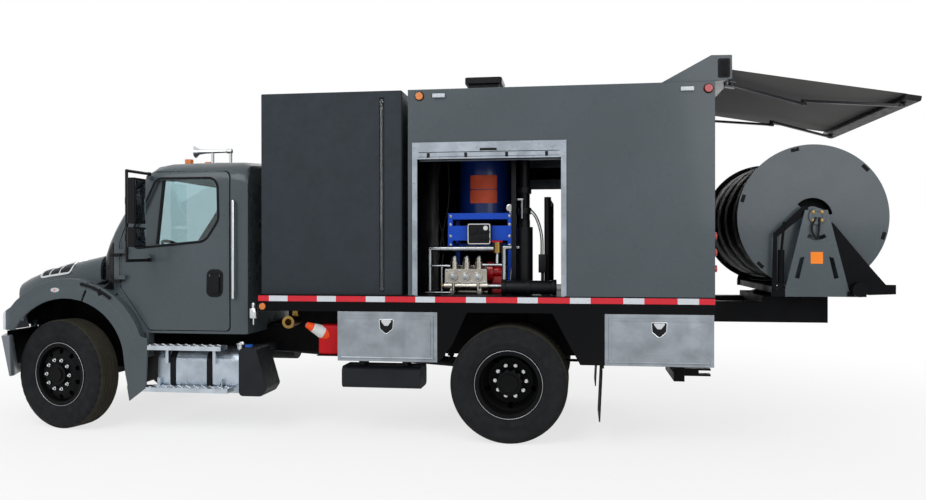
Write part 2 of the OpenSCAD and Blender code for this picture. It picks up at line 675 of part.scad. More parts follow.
// Wheels, drawn about their own axis with the outer face towards -Y
module about_axle() {
    rotate([90, 0, 0]) rotate_extrude($fn = 72) children();
}
module tyre_section() {
    w = tyre_w / 2;
    r = tyre_r;
    bead = seat_r + gap;
    b = rim_b - 16;
    half = [[bead, b], [lip_r + 2, b + 1], [345, w - 9], [r - 115, w], [r - 55, w - 5], [r - 18, w - 24], [r, w - 40]];
    fall = [for (i = [len(half) - 1:-1:0]) [half[i][0], -half[i][1]]];
    tread = [for (a = [62, 22, -18, -58]) each [[r, a], [r - 13, a - 2], [r - 13, a - 7], [r, a - 9]]];
    inner = [[bead, -b + 30], [350, -w + 26], [r - 110, -w + 20], [r - 34, -w + 46],
        [r - 34, w - 46], [r - 110, w - 20], [350, w - 26], [bead, b - 30]];
    polygon(concat(half, tread, fall, inner));
}
module barrel(a0) {
    about_axle() polygon([for (p = [[lip_r, rim_b], [lip_r, rim_b - 9], [seat_r, rim_b - 15], [seat_r, 15 - rim_b],
        [lip_r, 9 - rim_b], [lip_r, -rim_b], [264, -rim_b], [264, rim_b]]) p + [0, a0]]);
}
module wheel_nuts(a) {
    for (i = [0:9]) rotate([0, 36 * i, 0]) translate([bolt_circle, -a + over, 0]) rotate([90, 0, 0]) {
        cylinder(h = 28, r = 19, $fn = 6);
        cylinder(h = 44, r = 11);
    }
}
module front_rim() {
    difference() {
        union() {
            barrel(0);
            about_axle() polygon([[265, 30], [265, 62], [240, 84], [196, 98], [188, 104], [90, 104], [90, 84],
                [184, 84], [232, 62], [255, 30]]);
            y_pin(0, -140, 60, 0, hub_r);
            y_pin(0, -152, -130, 0, 62);
            wheel_nuts(104);
        }
        y_pin(0, -110, 61, 0, spindle_r + run);
        for (i = [0:9]) rotate([0, 36 * i + 18, 0]) translate([218, 0, 0]) y_pin(0, -120, -40, 0, 24);
    }
}
module rear_rims() {
    mid = dual_pitch / 2;
    difference() {
        union() {
            barrel(0);
            barrel(-dual_pitch);
            about_axle() polygon([[265, -75], [255, -75], [235, -100], [205, 22 - mid], [90, 22 - mid], [90, -22 - mid],
                [205, -22 - mid], [235, 100 - dual_pitch], [255, 75 - dual_pitch], [265, 75 - dual_pitch],
                [265, 100 - dual_pitch], [250, 115 - dual_pitch], [218, -mid], [250, -115], [265, -100]]);
            y_pin(0, -30, 300, 0, 112);
            y_pin(0, -52, -20, 0, 78);
            wheel_nuts(22 - mid);
        }
        y_pin(0, 60, 301, 0, rear_spindle_r + run);
        for (i = [0:4]) rotate([0, 72 * i + 18, 0]) translate([222, 0, 0]) y_pin(0, 60, 280, 0, 26);
    }
}
// A steered front corner stands on its kingpin
module steered() {
    translate([front_x, -king_y, tyre_r]) rotate([0, 0, -steer_rest]) children();
}
module steered_right() {
    translate([front_x, king_y, tyre_r]) rotate([0, 0, -steer_rest]) mirror([0, 1, 0]) children();
}
module knuckle() {
    z_pin(0, 0, -98, 98, king_r);
    for (z = [66, -96]) block([-50, -80, z], [50, 50, z + 30]);
    block([-55, -108 + over, -96], [55, -76, 96]);
    y_pin(0, -king_off - 106, -100, 0, spindle_r);
}
module left_knuckle() color("#2a2c30") steered() knuckle();
module right_knuckle() color("#2a2c30") steered_right() knuckle();
module front_left_rim() color("#17191c") steered() translate([0, -king_off, 0]) front_rim();
module front_left_tyre() color("#2d2e30") steered() translate([0, -king_off, 0]) about_axle() tyre_section();
module front_right_rim() color("#17191c") steered_right() translate([0, -king_off, 0]) front_rim();
module front_right_tyre() color("#2d2e30") steered_right() translate([0, -king_off, 0]) about_axle() tyre_section();
module rear_tyres() {
    about_axle() tyre_section();
    translate([0, dual_pitch, 0]) about_axle() tyre_section();
}
module rear_corner() {
    translate([0, -rear_wheel_y, tyre_r]) children();
}
module rear_left_rims() color("#17191c") rear_corner() rear_rims();
module rear_left_tyres() color("#2d2e30") rear_corner() rear_tyres();
module rear_right_rims() color("#17191c") right_side() rear_corner() rear_rims();
module rear_right_tyres() color("#2d2e30") right_side() rear_corner() rear_tyres();

// Water tank, with a channel for its level tube on the driver's side
tube_x = tank_tail - 189;
module water_tank() color("#343a3f") difference() {
    w = tank_w / 2;
    intersection() {
        side_prism(soften([[deck_front, deck_z, 12], [tank_tail, deck_z, 12], [tank_tail, roof_top + 12, 14],
            [deck_front, roof_top + 12, 14]]), -w, w);
        plan_prism(soften([[deck_front, -w, 16], [tank_tail, -w, 16], [tank_tail, w, 16], [deck_front, w, 16]]), 1200, 3300);
    }
    block([tube_x - 22, -w - over, deck_z + 30], [tube_x + 22, -w + 14, roof_top - 50]);
}
// Deck with its edge channels, the slide's guides, and the black skirts by the wheels
deck_foot = deck_z - 147;
toolbox_foot = deck_foot - toolbox_h;
box_1 = -1551;
box_2 = body_tail - 8 - toolbox_l;
slide_y = [380, 540];
slide_z = [1050, 1240];
module bed_deck() color("#16181e") {
    w = half_w;
    both() block([deck_front, w - 60, deck_foot], [body_tail, w, deck_z]);
    block([deck_front, -w + 59, deck_z - 20], [bay_front, w - 59, deck_z]);
    both() block([bay_front - over, 610, deck_z - 20], [body_tail, w - 59, deck_z]);
    for (i = [0:5]) let (x = deck_front - i * (deck_front + 120) / 5) block([x, -w + 59, deck_foot], [x + 70, w - 59, deck_z - 19]);
    both() {
        block([deck_front, slide_y[0] - 30, frame_top], [body_tail, frame_w / 2, 1030]);
        block([deck_front, slide_y[0] - 30, 1029], [80, frame_w / 2, deck_foot + over]);
        guide_channel();
        for (x = [350, 900, 1450]) block([x, slide_y[1] + 30 - over, deck_foot], [x + 70, w - 59, deck_z - 60]);
        for (x = [900, 1450]) block([x, 640, deck_z - 61], [x + 70, w - 59, deck_z - 19]);
    }
    both() {
        side_prism([[box_1 + toolbox_l + 7, deck_foot + over], [-363, deck_foot + over], [-497, 876], [-626, 713]],
            -w, -w + 10);
        side_prism([[387, deck_foot + over], [630, toolbox_foot], [box_2 - gap, toolbox_foot], [box_2 - gap, deck_foot + over]],
            -w, -w + 10);
    }
}
module guide_channel() {
    x0 = 140;
    floor_z = slide_z[0] - gap;
    block([x0, slide_y[0] - 30, 1020], [body_tail, slide_y[1] + 30, floor_z]);
    block([x0, slide_y[0] - 30, floor_z - over], [body_tail, slide_y[0] - gap, slide_z[0] + 46]);
    block([x0, slide_y[1] + gap, floor_z - over], [body_tail, slide_y[1] + 30, slide_z[1] + 10]);
}
module mud_flaps() color("#1a1b1d") both() {
    side_prism([[790, 224], [802, 222], [822, 640], [822, toolbox_foot - 2], [810, toolbox_foot - 2], [810, 640]], -half_w + 20, -rear_wheel_y + 430);
    block([800, -half_w + 30, toolbox_foot - 30], [835, -frame_w / 2 - gap, toolbox_foot - 2]);
    block([800, -frame_w / 2 - 60, toolbox_foot - 30], [835, -frame_w / 2, frame_bottom + 40]);
}

// Body: pump bay with a shutter on each side, then a bay at the tail for the reel
shut_x0 = -810;
shut_x1 = shut_x0 + shutter_l;
frame_over = 32;
vent_x = -443;
module body_shell() color("#4b5356") {
    w = half_w;
    in = w - body_wall;
    difference() {
        block([-body_front, -w, deck_z], [body_tail, w, roof_top]);
        block([-body_front + 40, -in, deck_z - over], [bay_front - 30, in, roof_top - 45]);
        block([bay_front, -in, deck_z - over], [body_tail + over, in, roof_top - 150]);
        block([shut_x0 - frame_over, -w - over, deck_z - over], [shut_x1 + frame_over, w + over, shutter_head + 130]);
        block([tube_x + 100, -w - over, deck_z - over], [-body_front - over, w + over, roof_top + over]);
    }
    block([vent_x + 30, -760, roof_top - over], [vent_x + 318, -440, roof_top + 125]);
    plan_prism(soften([[vent_x, -790, 30], [vent_x + 348, -790, 30], [vent_x + 348, -410, 30], [vent_x, -410, 30]]),
        roof_top + 124, roof_top + 185);
}
// Height of the crowned roof under a lamp that stands at this distance from the middle
function roof_at(y) = roof_z - 7.8 - abs(y) / 700 + crown_at(max(abs(y) - 42, 0), cab_half - 195);
// Side lamps, tail lamps and the lamps along the cab roof's front
module marker_lamps() color("#e8a020") {
    w = half_w;
    lamp_z = roof_top - 61;
    both() {
        for (x = [-791, body_tail - 56]) y_pin(x, -w - 22, -w, lamp_z, 34);
        for (x = [-614, body_tail - 232]) block([x - 55, -w - 26, lamp_z - 17], [x + 55, -w, lamp_z + 17]);
        y_pin(deck_front + 45, -w - 20, -w, deck_foot + 40, 30);
        for (z = [1560, 1700, 1840]) x_pin(body_tail, body_tail + 18, -w + 32, z, 30);
    }
    from_front_axle() for (y = [-640, -200, 0, 200, 640])
        z_pin(1010, y, roof_at(y), roof_at(y) + 48, 42);
}
// Shutter frames: a flange outside, a sleeve through the wall, and the wound-up curtain inside
curtain_y = half_w - body_wall - 11;
roll_r = 105;
roll_z = 2875;
module shutter_frame() {
    w = half_w;
    x0 = shut_x0 - frame_over;
    x1 = shut_x1 + frame_over;
    head = shutter_head + 130;
    in = curtain_y - 26;
    difference() {
        union() {
            block([x0 - 15, -w - 12, deck_z + 8], [x1 + 15, -w - gap, head + 20]);
            block([x0 + gap, -w - over, deck_z + gap], [x1 - gap, -in, head - gap]);
        }
        block([shut_x0, -w - 20, deck_z - over], [shut_x1, -in + over, shutter_head]);
        block([shut_x0 - 20, -curtain_y - 9, deck_z + 20], [shut_x1 + 20, -curtain_y + 9, head + over]);
    }
    roll_y = curtain_y - 8 - roll_r;
    x_pin(shut_x0 - 10, shut_x1 + 10, -roll_y, roll_z, roll_r);
    for (x = [x0 + 4, x1 - 12]) {
        block([x, -roll_y - 60, head - 40], [x + 8, -roll_y + 40, roll_z + 60]);
        block([x, -in - 20, head - 90], [x + 8, -roll_y + 40, head - 39]);
    }
    x_pin(x0 + 5, x1 - 5, -roll_y, roll_z, 25);
}
module shutter_frames() color("#9aa0a5") both() shutter_frame();
// Curtain of slats that hangs from the roll; its bar is at the given height
module curtain(foot) {
    top = roll_z - 10;
    slat = 40;
    n = floor((top - foot - 60) / slat);
    block([shut_x0 - 16, -curtain_y - 5, foot + 30], [shut_x1 + 16, -curtain_y + 5, top]);
    block([shut_x0 - 16, -curtain_y - 8.5, foot], [shut_x1 + 16, -curtain_y + 8.5, foot + 55]);
    for (i = [1:n]) block([shut_x0 - 16, -curtain_y - 7, foot + 60 + (i - 1) * slat],
        [shut_x1 + 16, -curtain_y + 7, foot + 60 + i * slat - 8]);
}
module left_shutter() color("#8a9095") curtain(shutter_head - 12);
module right_shutter() color("#8a9095") right_side() curtain(shutter_head - 115);

// Toolboxes under the deck, each with a drop-down door and a turning latch
box_d = 450;
lip = 55;
door_hinge_r = 4;
function box_hinge_z() = toolbox_foot + lip - 22;
module toolbox(x0) {
    w = half_w;
    x1 = x0 + toolbox_l;
    t = 8;
    difference() {
        block([x0, -w, toolbox_foot], [x1, -w + box_d, deck_foot]);
        block([x0 + t, -w + 12, toolbox_foot + t], [x1 - t, -w + box_d - t, deck_foot - t]);
        block([x0 + lip, -w - over, toolbox_foot + lip], [x1 - lip, -w + 30, deck_foot - lip]);
    }
    for (x = [x0 + 22, x1 - 34]) block([x, -w - 16, box_hinge_z() - 8], [x + 12, -w + over, box_hinge_z() + 8]);
    x_pin(x0 + 22, x1 - 22, -w - 8, box_hinge_z(), door_hinge_r);
}
module toolboxes() color("#a5acb2") {
    toolbox(box_1);
    toolbox(box_2);
}
latch_drop = 34;
latch_r = 8;
function latch_z() = deck_foot - lip - latch_drop;
module toolbox_door(x0) {
    w = half_w;
    x1 = x0 + toolbox_l;
    difference() {
        union() {
            block([x0 + 35, -w - 11, box_hinge_z() + 10], [x1 - 35, -w - gap, deck_foot - 36]);
            x_pin(x0 + 36, x1 - 36, -w - 8, box_hinge_z(), 7.5);
            block([x0 + 36, -w - 11, box_hinge_z()], [x1 - 36, -w - 5, box_hinge_z() + 11]);
        }
        x_pin(x0 + 30, x1 - 30, -w - 8, box_hinge_z(), door_hinge_r + run);
        y_pin((x0 + x1) / 2, -w - 20, -w + 10, latch_z(), latch_r + run);
    }
}
module toolbox_latch(x0) {
    x = x0 + toolbox_l / 2;
    y_pin(x, -half_w - 30, -half_w + 24, latch_z(), latch_r);
    y_pin(x, -half_w - 18, -half_w - 11 - gap, latch_z(), 24);
    side_prism(soften([[x - 55, latch_z() + 16, 8], [x - 16, latch_z() - 34, 10], [x + 16, latch_z() - 34, 10],
        [x + 55, latch_z() + 16, 8]]), -half_w - 30, -half_w - 17);
    block([x - 12, -half_w + 15, latch_z() - 12], [x + 44, -half_w + 21, latch_z() + 12]);
}
module front_toolbox_door() color("#adb4b9") toolbox_door(box_1);
module rear_toolbox_door() color("#adb4b9") toolbox_door(box_2);
module front_toolbox_latch() color("#3a3d40") toolbox_latch(box_1);
module rear_toolbox_latch() color("#3a3d40") toolbox_latch(box_2);

// Triplex plunger pump: crankcase, fluid end with three valve columns, and its two manifolds
pump_x = -632;
pump_y = -850;
pump_l = 415;
module jet_pump() color("#c0b8a8") {
    x1 = pump_x + pump_l;
    plunger = [for (i = [0:2]) pump_x + pump_l * (0.22 + 0.28 * i)];
    block([pump_x + 20, pump_y + 150, deck_z], [x1 - 20, pump_y + 460, deck_z + 20]);
    side_prism(soften([[pump_x + 30, deck_z + 19, 0], [x1 - 30, deck_z + 19, 0], [x1 - 30, deck_z + 260, 40],
        [pump_x + 30, deck_z + 260, 40]]), pump_y + 170, pump_y + 440);
    block([pump_x + 10, pump_y - 10, deck_z + 90], [x1 - 10, pump_y + 90, deck_z + 230]);
    for (x = plunger) {
        y_pin(x, pump_y + 80, pump_y + 180, deck_z + 150, 38);
        z_pin(x, pump_y + 40, deck_z + 225, deck_z + 300, 40);
        z_pin(x, pump_y + 40, deck_z + 299, deck_z + 333, 30);
        y_pin(x, pump_y - 45, pump_y, deck_z + 160, 42);
    }
    x_pin(pump_x, x1, pump_y + 20, deck_z + 70, 38);
    x_pin(pump_x - 20, x1 + 20, pump_y + 20, deck_z + 70, 26);
    for (x = [plunger[0], plunger[2]], y = [pump_y - 20, pump_y + 60]) z_pin(x, y, deck_z + 20, deck_z + 100, 14);
    for (x = [pump_x + 60, x1 - 100]) block([x, pump_y - 30, deck_z], [x + 40, pump_y + 75, deck_z + 45]);
}
// Hydraulic drive on the end of the pump's crankshaft
module pump_drive() color("#8e1f22") {
    x = pump_x + pump_l - 30 + gap;
    z = deck_z + 200;
    x_pin(x, x + 60, pump_y + 230, z, 95);
    x_pin(x + 50, x + 190, pump_y + 230, z, 60);
    side_prism([[x + 40, deck_z], [x + 170, deck_z], [x + 150, z], [x + 60, z]], pump_y + 190, pump_y + 270);
}
// Upright water heater on a stand, its casing a drum round the coil
heater_x = -290;
heater_y = -420;
heater_r = 254;
stand_z = [1738, 2070];
module heater_unit() color("#0a3c96") {
    s = [heater_x - 331, heater_x + 286];
    z_pin(heater_x, heater_y, stand_z[1] - over, 2660, heater_r);
    z_pin(heater_x, heater_y, 2659, 2700, heater_r * 0.8);
    z_pin(heater_x, heater_y, 2699, 2790, 70);
    block([s[0], heater_y - 270, stand_z[1] - 60], [s[1], heater_y + 270, stand_z[1]]);
    for (x = [s[0], s[1] - 45]) block([x, heater_y - 270, stand_z[0]], [x + 45, heater_y + 270, stand_z[0] + 45]);
    block([s[0] + 44, heater_y - 270, stand_z[0] + 70], [s[1] - 44, heater_y - 258, stand_z[0] + 212]);
    block([s[0], heater_y + 225, stand_z[0]], [s[1], heater_y + 270, stand_z[0] + 45]);
    for (x = [s[0], s[1] - 45], y = [heater_y - 270, heater_y + 225]) block([x, y, stand_z[0]], [x + 45, y + 45, stand_z[1]]);
    for (x = [s[0], s[1] - 45]) block([x, heater_y + 225, deck_z], [x + 45, heater_y + 270, stand_z[0] + over]);
    block([s[1] - 45, heater_y - 270, deck_z], [s[1], heater_y - 225, stand_z[0] + over]);
}
module control_panel() color("#111315") {
    x0 = heater_x - 134;
    y = heater_y - 270 - gap;
    block([x0, y - 90, stand_z[0] + 30], [x0 + 226, y, stand_z[0] + 234]);
    y_pin(x0 + 60, y - 104, y - 89, stand_z[0] + 170, 38);
    for (x = [130, 170, 205], z = [90, 150]) y_pin(x0 + x, y - 108, y - 89, stand_z[0] + z, 13);
}
// Level tube, fill pipe, and the pump's suction, delivery and bypass pipes
fill_r = 31.75;
fill_x = deck_front + 265;
module plumbing() color("#9a9184") {
    z = deck_z + 460;
    z_pin(tube_x, -tank_w / 2 - 6, deck_z + 45, roof_top - 67, 11);
    for (h = [deck_z + 60, roof_top - 90]) y_pin(tube_x, -tank_w / 2 - 10, -tank_w / 2 + 14, h, 15);
    difference() {
        union() {
            y_pin(fill_x, -half_w + 75, -half_w + 300, deck_foot - 110, fill_r + 16);
            y_pin(fill_x, -half_w + 60, -half_w + 110, deck_foot - 110, fill_r + 26);
            z_pin(fill_x, -half_w + 270, deck_foot - 140, deck_z - 20, fill_r + 8);
        }
        y_pin(fill_x, -half_w + 59, -half_w + 230, deck_foot - 110, fill_r);
    }
    suction = pump_x + pump_l + 20 + gap;
    bent_bar([[suction, pump_y + 20, deck_z + 70], [suction + 130, pump_y + 20, deck_z + 70],
        [suction + 130, pump_y + 20, z - 30], [-25, pump_y + 20, z - 30]], 24);
    bent_bar([[-780, pump_y + 60, deck_z], [-780, pump_y + 60, z - 40], [suction + 60, pump_y + 60, z - 40]], 26);
    z_pin(suction + 60, pump_y + 60, z - 80, z + 20, 42);
    block([suction + 10, pump_y + 50, z + 20 - over], [suction + 110, pump_y + 70, z + 34]);
    z_pin(120, pump_y + 60, deck_z, deck_z + 620, 75);
    z_pin(120, pump_y + 60, deck_z + 619, deck_z + 680, 50);
    bent_bar([[-30, pump_y + 20, z - 30], [120, pump_y + 20, z - 30], [120, pump_y + 120, z - 30]], 20);
    z_pin(330, pump_y + 120, deck_z, deck_z + 900, 32);
    bent_bar([[330, pump_y + 120, deck_z + 880], [330, 300, deck_z + 880], [330, 300, deck_z]], 24);
}

// Awning: the housing on the roof's tail, then arms that fold in one sloping plane
module in_awning() {
    translate([shoulder[0], 0, shoulder[1]]) rotate([0, awning_slope, 0]) children();
}
upper_z = [-62, -36];
fore_z = [-32, -6];
arm_pin_r = 12;
elbow = [arm_l * cos(arm_rest), -shoulder_y + arm_l * sin(arm_rest)];
wrist = [awning_run, -shoulder_y];
module awning_housing() color("#4b5356") {
    x = body_tail;
    w = half_w - 12;
    difference() {
        side_prism([[x - 448, roof_top + gap], [x + 13, roof_top + gap], [x + 143, roof_top + 17],
            [x + 140, roof_top + 221], [x - 31, roof_top + 224]], -w, w);
        side_prism([[x + 100, roof_top + 66], [x + 150, roof_top + 66], [x + 150, roof_top + 112], [x + 100, roof_top + 112]],
            -w + 40, w - 40);
    }
    in_awning() both() {
        for (z = [upper_z[0] - 14, upper_z[1] + gap]) block([-60, -shoulder_y - 34, z], [30, -shoulder_y + 34, z + 14 - gap]);
        block([-60, -shoulder_y - 34, upper_z[0] - 14], [-44, -shoulder_y + 34, upper_z[1] + 14]);
        z_pin(0, -shoulder_y, upper_z[0] - 10, upper_z[1] + 10, arm_pin_r);
    }
}
module arm(a, b, z) {
    d = b - a;
    difference() {
        union() {
            translate([a[0], a[1], z[0]]) rotate([0, 0, atan2(d[1], d[0])]) translate([0, -20, 2]) cube([norm(d), 40, z[1] - z[0] - 4]);
            for (p = [a, b]) z_pin(p[0], p[1], z[0], z[1], 28);
        }
        z_pin(a[0], a[1], z[0] - over, z[1] + over, arm_pin_r + run);
        children();
    }
}
module upper_arm() {
    arm([0, -shoulder_y], elbow, upper_z + [0, -gap]);
    z_pin(elbow[0], elbow[1], upper_z[0] + 5, fore_z[1], arm_pin_r);
}
module forearm() {
    arm(elbow, wrist, fore_z) z_pin(wrist[0], wrist[1], fore_z[0] - over, fore_z[1] + over, arm_pin_r + run);
}
module awning_left_upper_arm() color("#464448") in_awning() upper_arm();
module awning_left_forearm() color("#464448") in_awning() forearm();
module awning_right_upper_arm() color("#464448") in_awning() right_side() upper_arm();
module awning_right_forearm() color("#464448") in_awning() right_side() forearm();
module lead_rail() color("#50565c") in_awning() {
    side_prism(soften([[awning_run - 45, 0, 8], [awning_run + rail_front, 0, 20], [awning_run + rail_front, rail_top, 0],
        [awning_run - 45, rail_top, 12]]), -1152, 1152);
    both() z_pin(wrist[0], wrist[1], fore_z[0], over, arm_pin_r);
}
module awning_fabric() color("#3e3a36") in_awning()
    side_prism([[-45, rail_top - 2], [-45, rail_top + 1], [awning_run - 30, rail_top + 4], [awning_run - 30, rail_top + gap]], -1140, 1140);

// Reel: a carriage slides out on two rails, the stand turns on it, the drum turns in the stand
stand_y = 1080;
stand_plate = 14;
stand_foot = 1320;
beam_h = 60;
table_z = [1290, 1314];
pivot_r = 60;
module reel_carriage() color("#16181c") {
    x = reel_x;
    both() block([x - 1500, slide_y[0], slide_z[0]], [x + 245, slide_y[1], slide_z[1]]);
    for (c = [x - 330, x - 40, x + 165]) block([c, -slide_y[0] - over, slide_z[0] + 50], [c + 80, slide_y[0] + over, slide_z[1]]);
    block([x - 330, -slide_y[1], slide_z[1] - over], [x + 245, slide_y[1], table_z[0]]);
    z_pin(x, 0, table_z[0] - over, table_z[1], 320);
    z_pin(x, 0, table_z[1] - over, stand_foot + 20, pivot_r);
}
function stand_outline() = [[-258, stand_foot + beam_h], [260, stand_foot + beam_h], [90, reel_z + 55], [-97, reel_z + 55]];
module a_plate() {
    x = reel_x;
    difference() {
        side_prism([for (p = stand_outline()) p + [x, 0]], -stand_y, -stand_y + stand_plate);
        for (k = [-1, 1]) side_prism(soften([[x + k * 100, reel_z - 345, 0], [x + k * 136, reel_z - 353, 0],
            [x + k * 178, reel_z - 525, 0], [x + k * 142, reel_z - 533, 0]]), -stand_y - over, 0);
        side_prism(concat(arc([x, reel_z - 50], 150, 238, 302, 8), arc([x, reel_z - 50], 118, 302, 238, 8)), -stand_y - over, 0);
    }
    block([x - 258, -stand_y, stand_foot], [x + 260, -stand_y + 60, stand_foot + beam_h + over]);
}
// Guide plate beside the drum: it carries the fairlead roller behind the reel
roller = [600, stand_foot + 70];
module guide_plate() {
    x = reel_x;
    y = -stand_y + stand_plate;
    side_prism([for (p = [[60, reel_z - 20], [140, reel_z - 60], [440, 1568], [560, 1424], [640, 1424], [640, 1344],
        [430, 1336], [240, stand_foot + 40]]) p + [x, 0]], y - over, y + 12);
    y_pin(x + 330, -stand_y - 70, y, stand_foot + 64, 62);
    block([x + 240, y - 20, stand_foot], [x + 400, y + 10, stand_foot + 50]);
}
// Brake strut ahead of the drum: a lever from the bearing, a post, and a cylinder with its rod
module brake_strut() {
    x = reel_x;
    y = -stand_y + stand_plate + 18;
    side_prism([for (p = [[-60, 2090], [-100, 2100], [-330, 1880], [-345, 1830], [-310, 1835], [-90, 2020], [-60, 2020]]) p + [x, 0]], y, y + 14);
    block([x - 90, -stand_y + 5, reel_z - 15], [x - 60, y + 5, reel_z + 40]);
    side_prism([for (p = [[-360, stand_foot + 30], [-320, stand_foot + 30], [-315, 1870], [-345, 1870]]) p + [x, 0]], y, y + 14);
    bar([x - 285, y + 7, stand_foot + 120], [x - 280, y + 7, 1720], 26);
    bar([x - 280, y + 7, 1710], [x - 256, y + 7, 1962], 11);
    block([x - 360, y - 20, stand_foot], [x - 200, y + 34, stand_foot + 50]);
    block([x - 310, y - 6, stand_foot + 40], [x - 262, y + 20, stand_foot + 130]);
}
module reel_stand() color("#50565c") {
    x = reel_x;
    difference() {
        union() {
            both() a_plate();
            both() guide_plate();
            both() y_pin(x, -stand_y - 22, -stand_y + 40, reel_z, 70);
            both() block([x - 54, -stand_y - 10, reel_z - 54], [x + 54, -stand_y + 30, reel_z + 54]);
            brake_strut();
            for (b = [-240, 170]) block([x + b, -stand_y + 5, stand_foot], [x + b + 70, stand_y - 5, stand_foot + beam_h]);
            block([x - 240, -330, stand_foot], [x + 240, 330, stand_foot + 24]);
            z_pin(x, 0, table_z[1] + gap, stand_foot + over, 300);
            y_pin(x + roller[0], -stand_y + stand_plate, stand_y - stand_plate, roller[1], 30);
        }
        z_pin(x, 0, 1200, stand_foot + 21, pivot_r + run);
        y_pin(x, -stand_y - 200, stand_y + 200, reel_z, shaft_r + run);
    }
}
flange_t = 10;
core_r = 200;
divider = 100;
module reel_flange() {
    difference() {
        y_pin(0, -flange_t, 0, 0, flange_r);
        for (a = [44:60:344]) rotate([0, -a, 0]) block([flange_r - 42, -20, -33], [flange_r - 12, 20, 33]);
        side_prism(concat(arc([0, 0], 165, 8, 139, 12), arc([0, 0], 92, 139, 8, 12)), -20, 20);
    }
}
module reel_drum() color("#4e5659") translate([reel_x, 0, reel_z]) {
    w = reel_w / 2;
    translate([0, -w, 0]) reel_flange();
    mirror([0, 1, 0]) translate([0, -w, 0]) reel_flange();
    y_pin(0, -w + divider - 8, -w + divider, 0, flange_r - 12);
    difference() {
        y_pin(0, -w - over, w + over, 0, core_r);
        y_pin(0, -w + 60, w - 60, 0, core_r - 14);
        both() side_prism(concat(arc([0, 0], 165, 8, 139, 12), arc([0, 0], 92, 139, 8, 12)), -w - 2, -w + 61);
    }
    y_pin(0, -stand_y - 18, stand_y + 18, 0, shaft_r);
}
// Outer layer of hose: one unbroken helix over the plain core of its inner layers
wind_y0 = -reel_w / 2 + divider + 12 + hose_d / 2;
steps_per_turn = 24;
// The tube's straight steps dip towards the core, so its path lies that much further out
wind_r = (hose_core_r + hose_d / 2 + gap) / cos(180 / steps_per_turn);
function wind_centre(t) = [wind_r * cos(t), wind_y0 + hose_pitch * t / 360, wind_r * sin(t)];
function wind_ring(c, t) = [for (i = [0:5]) let (a = -60 * i)
    c + hose_d / 2 * [cos(a) * cos(t), sin(a), cos(a) * sin(t)]];
function wind_tangent(t) = [-sin(t), 0, cos(t)];
module hose_winding() color("#1c1d1f") translate([reel_x, 0, reel_z]) {
    end = 360 * hose_turns;
    w = reel_w / 2;
    loft(concat([wind_ring(wind_centre(0) - hose_d * wind_tangent(0), 0)],
        [for (k = [0:hose_turns * steps_per_turn]) let (t = 360 * k / steps_per_turn) wind_ring(wind_centre(t), t)],
        [wind_ring(wind_centre(end) + hose_d * wind_tangent(end), end)]));
    difference() {
        y_pin(0, -w + divider + gap, w - gap, 0, hose_core_r);
        y_pin(0, -w, w, 0, core_r + gap);
    }
}
echo(least_gap_between_turns = hose_pitch - hose_d);

placed() chassis_frame();
placed() front_bumper();
placed() axles_and_springs();
placed() drivetrain();
placed() fuel_tank_and_steps();
placed() plastic_tanks();
placed() cab_shell();
placed() cab_glass();
placed() cab_interior();
placed() cab_brightwork();
placed() water_tank();
placed() bed_deck();
placed() body_shell();
placed() marker_lamps();
placed() shutter_frames();
placed() toolboxes();
placed() jet_pump();
placed() pump_drive();
placed() heater_unit();
placed() control_panel();
placed() plumbing();
placed() awning_housing();
placed() mud_flaps();
placed() left_knuckle();
placed() right_knuckle();
placed() front_left_rim();
placed() front_left_tyre();
placed() front_right_rim();
placed() front_right_tyre();
placed() rear_left_rims();
placed() rear_left_tyres();
placed() rear_right_rims();
placed() rear_right_tyres();
placed() steering_wheel();
placed() hood();
placed() grille_and_lamps();
placed() left_door();
placed() right_door();
placed() left_window();
placed() right_window();
placed() left_door_handle();
placed() right_door_handle();
placed() left_mirror();
placed() right_mirror();
placed() front_toolbox_door();
placed() rear_toolbox_door();
placed() front_toolbox_latch();
placed() rear_toolbox_latch();
placed() left_shutter();
placed() right_shutter();
placed() reel_carriage();
placed() reel_stand();
placed() reel_drum();
placed() hose_winding();
placed() awning_left_upper_arm();
placed() awning_left_forearm();
placed() awning_right_upper_arm();
placed() awning_right_forearm();
placed() lead_rail();
placed() awning_fabric();
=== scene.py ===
"""Finish and fittings of a truck-mounted drain jetter, laid out as a Blender add-on.

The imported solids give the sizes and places. This file softens their edges, gives each its
finish and adds the tyres, hose, lamps, tape, glazing seals and small fittings that they leave out.
"""

import json
import math
from contextlib import contextmanager

import bpy
from mathutils import Matrix, Vector

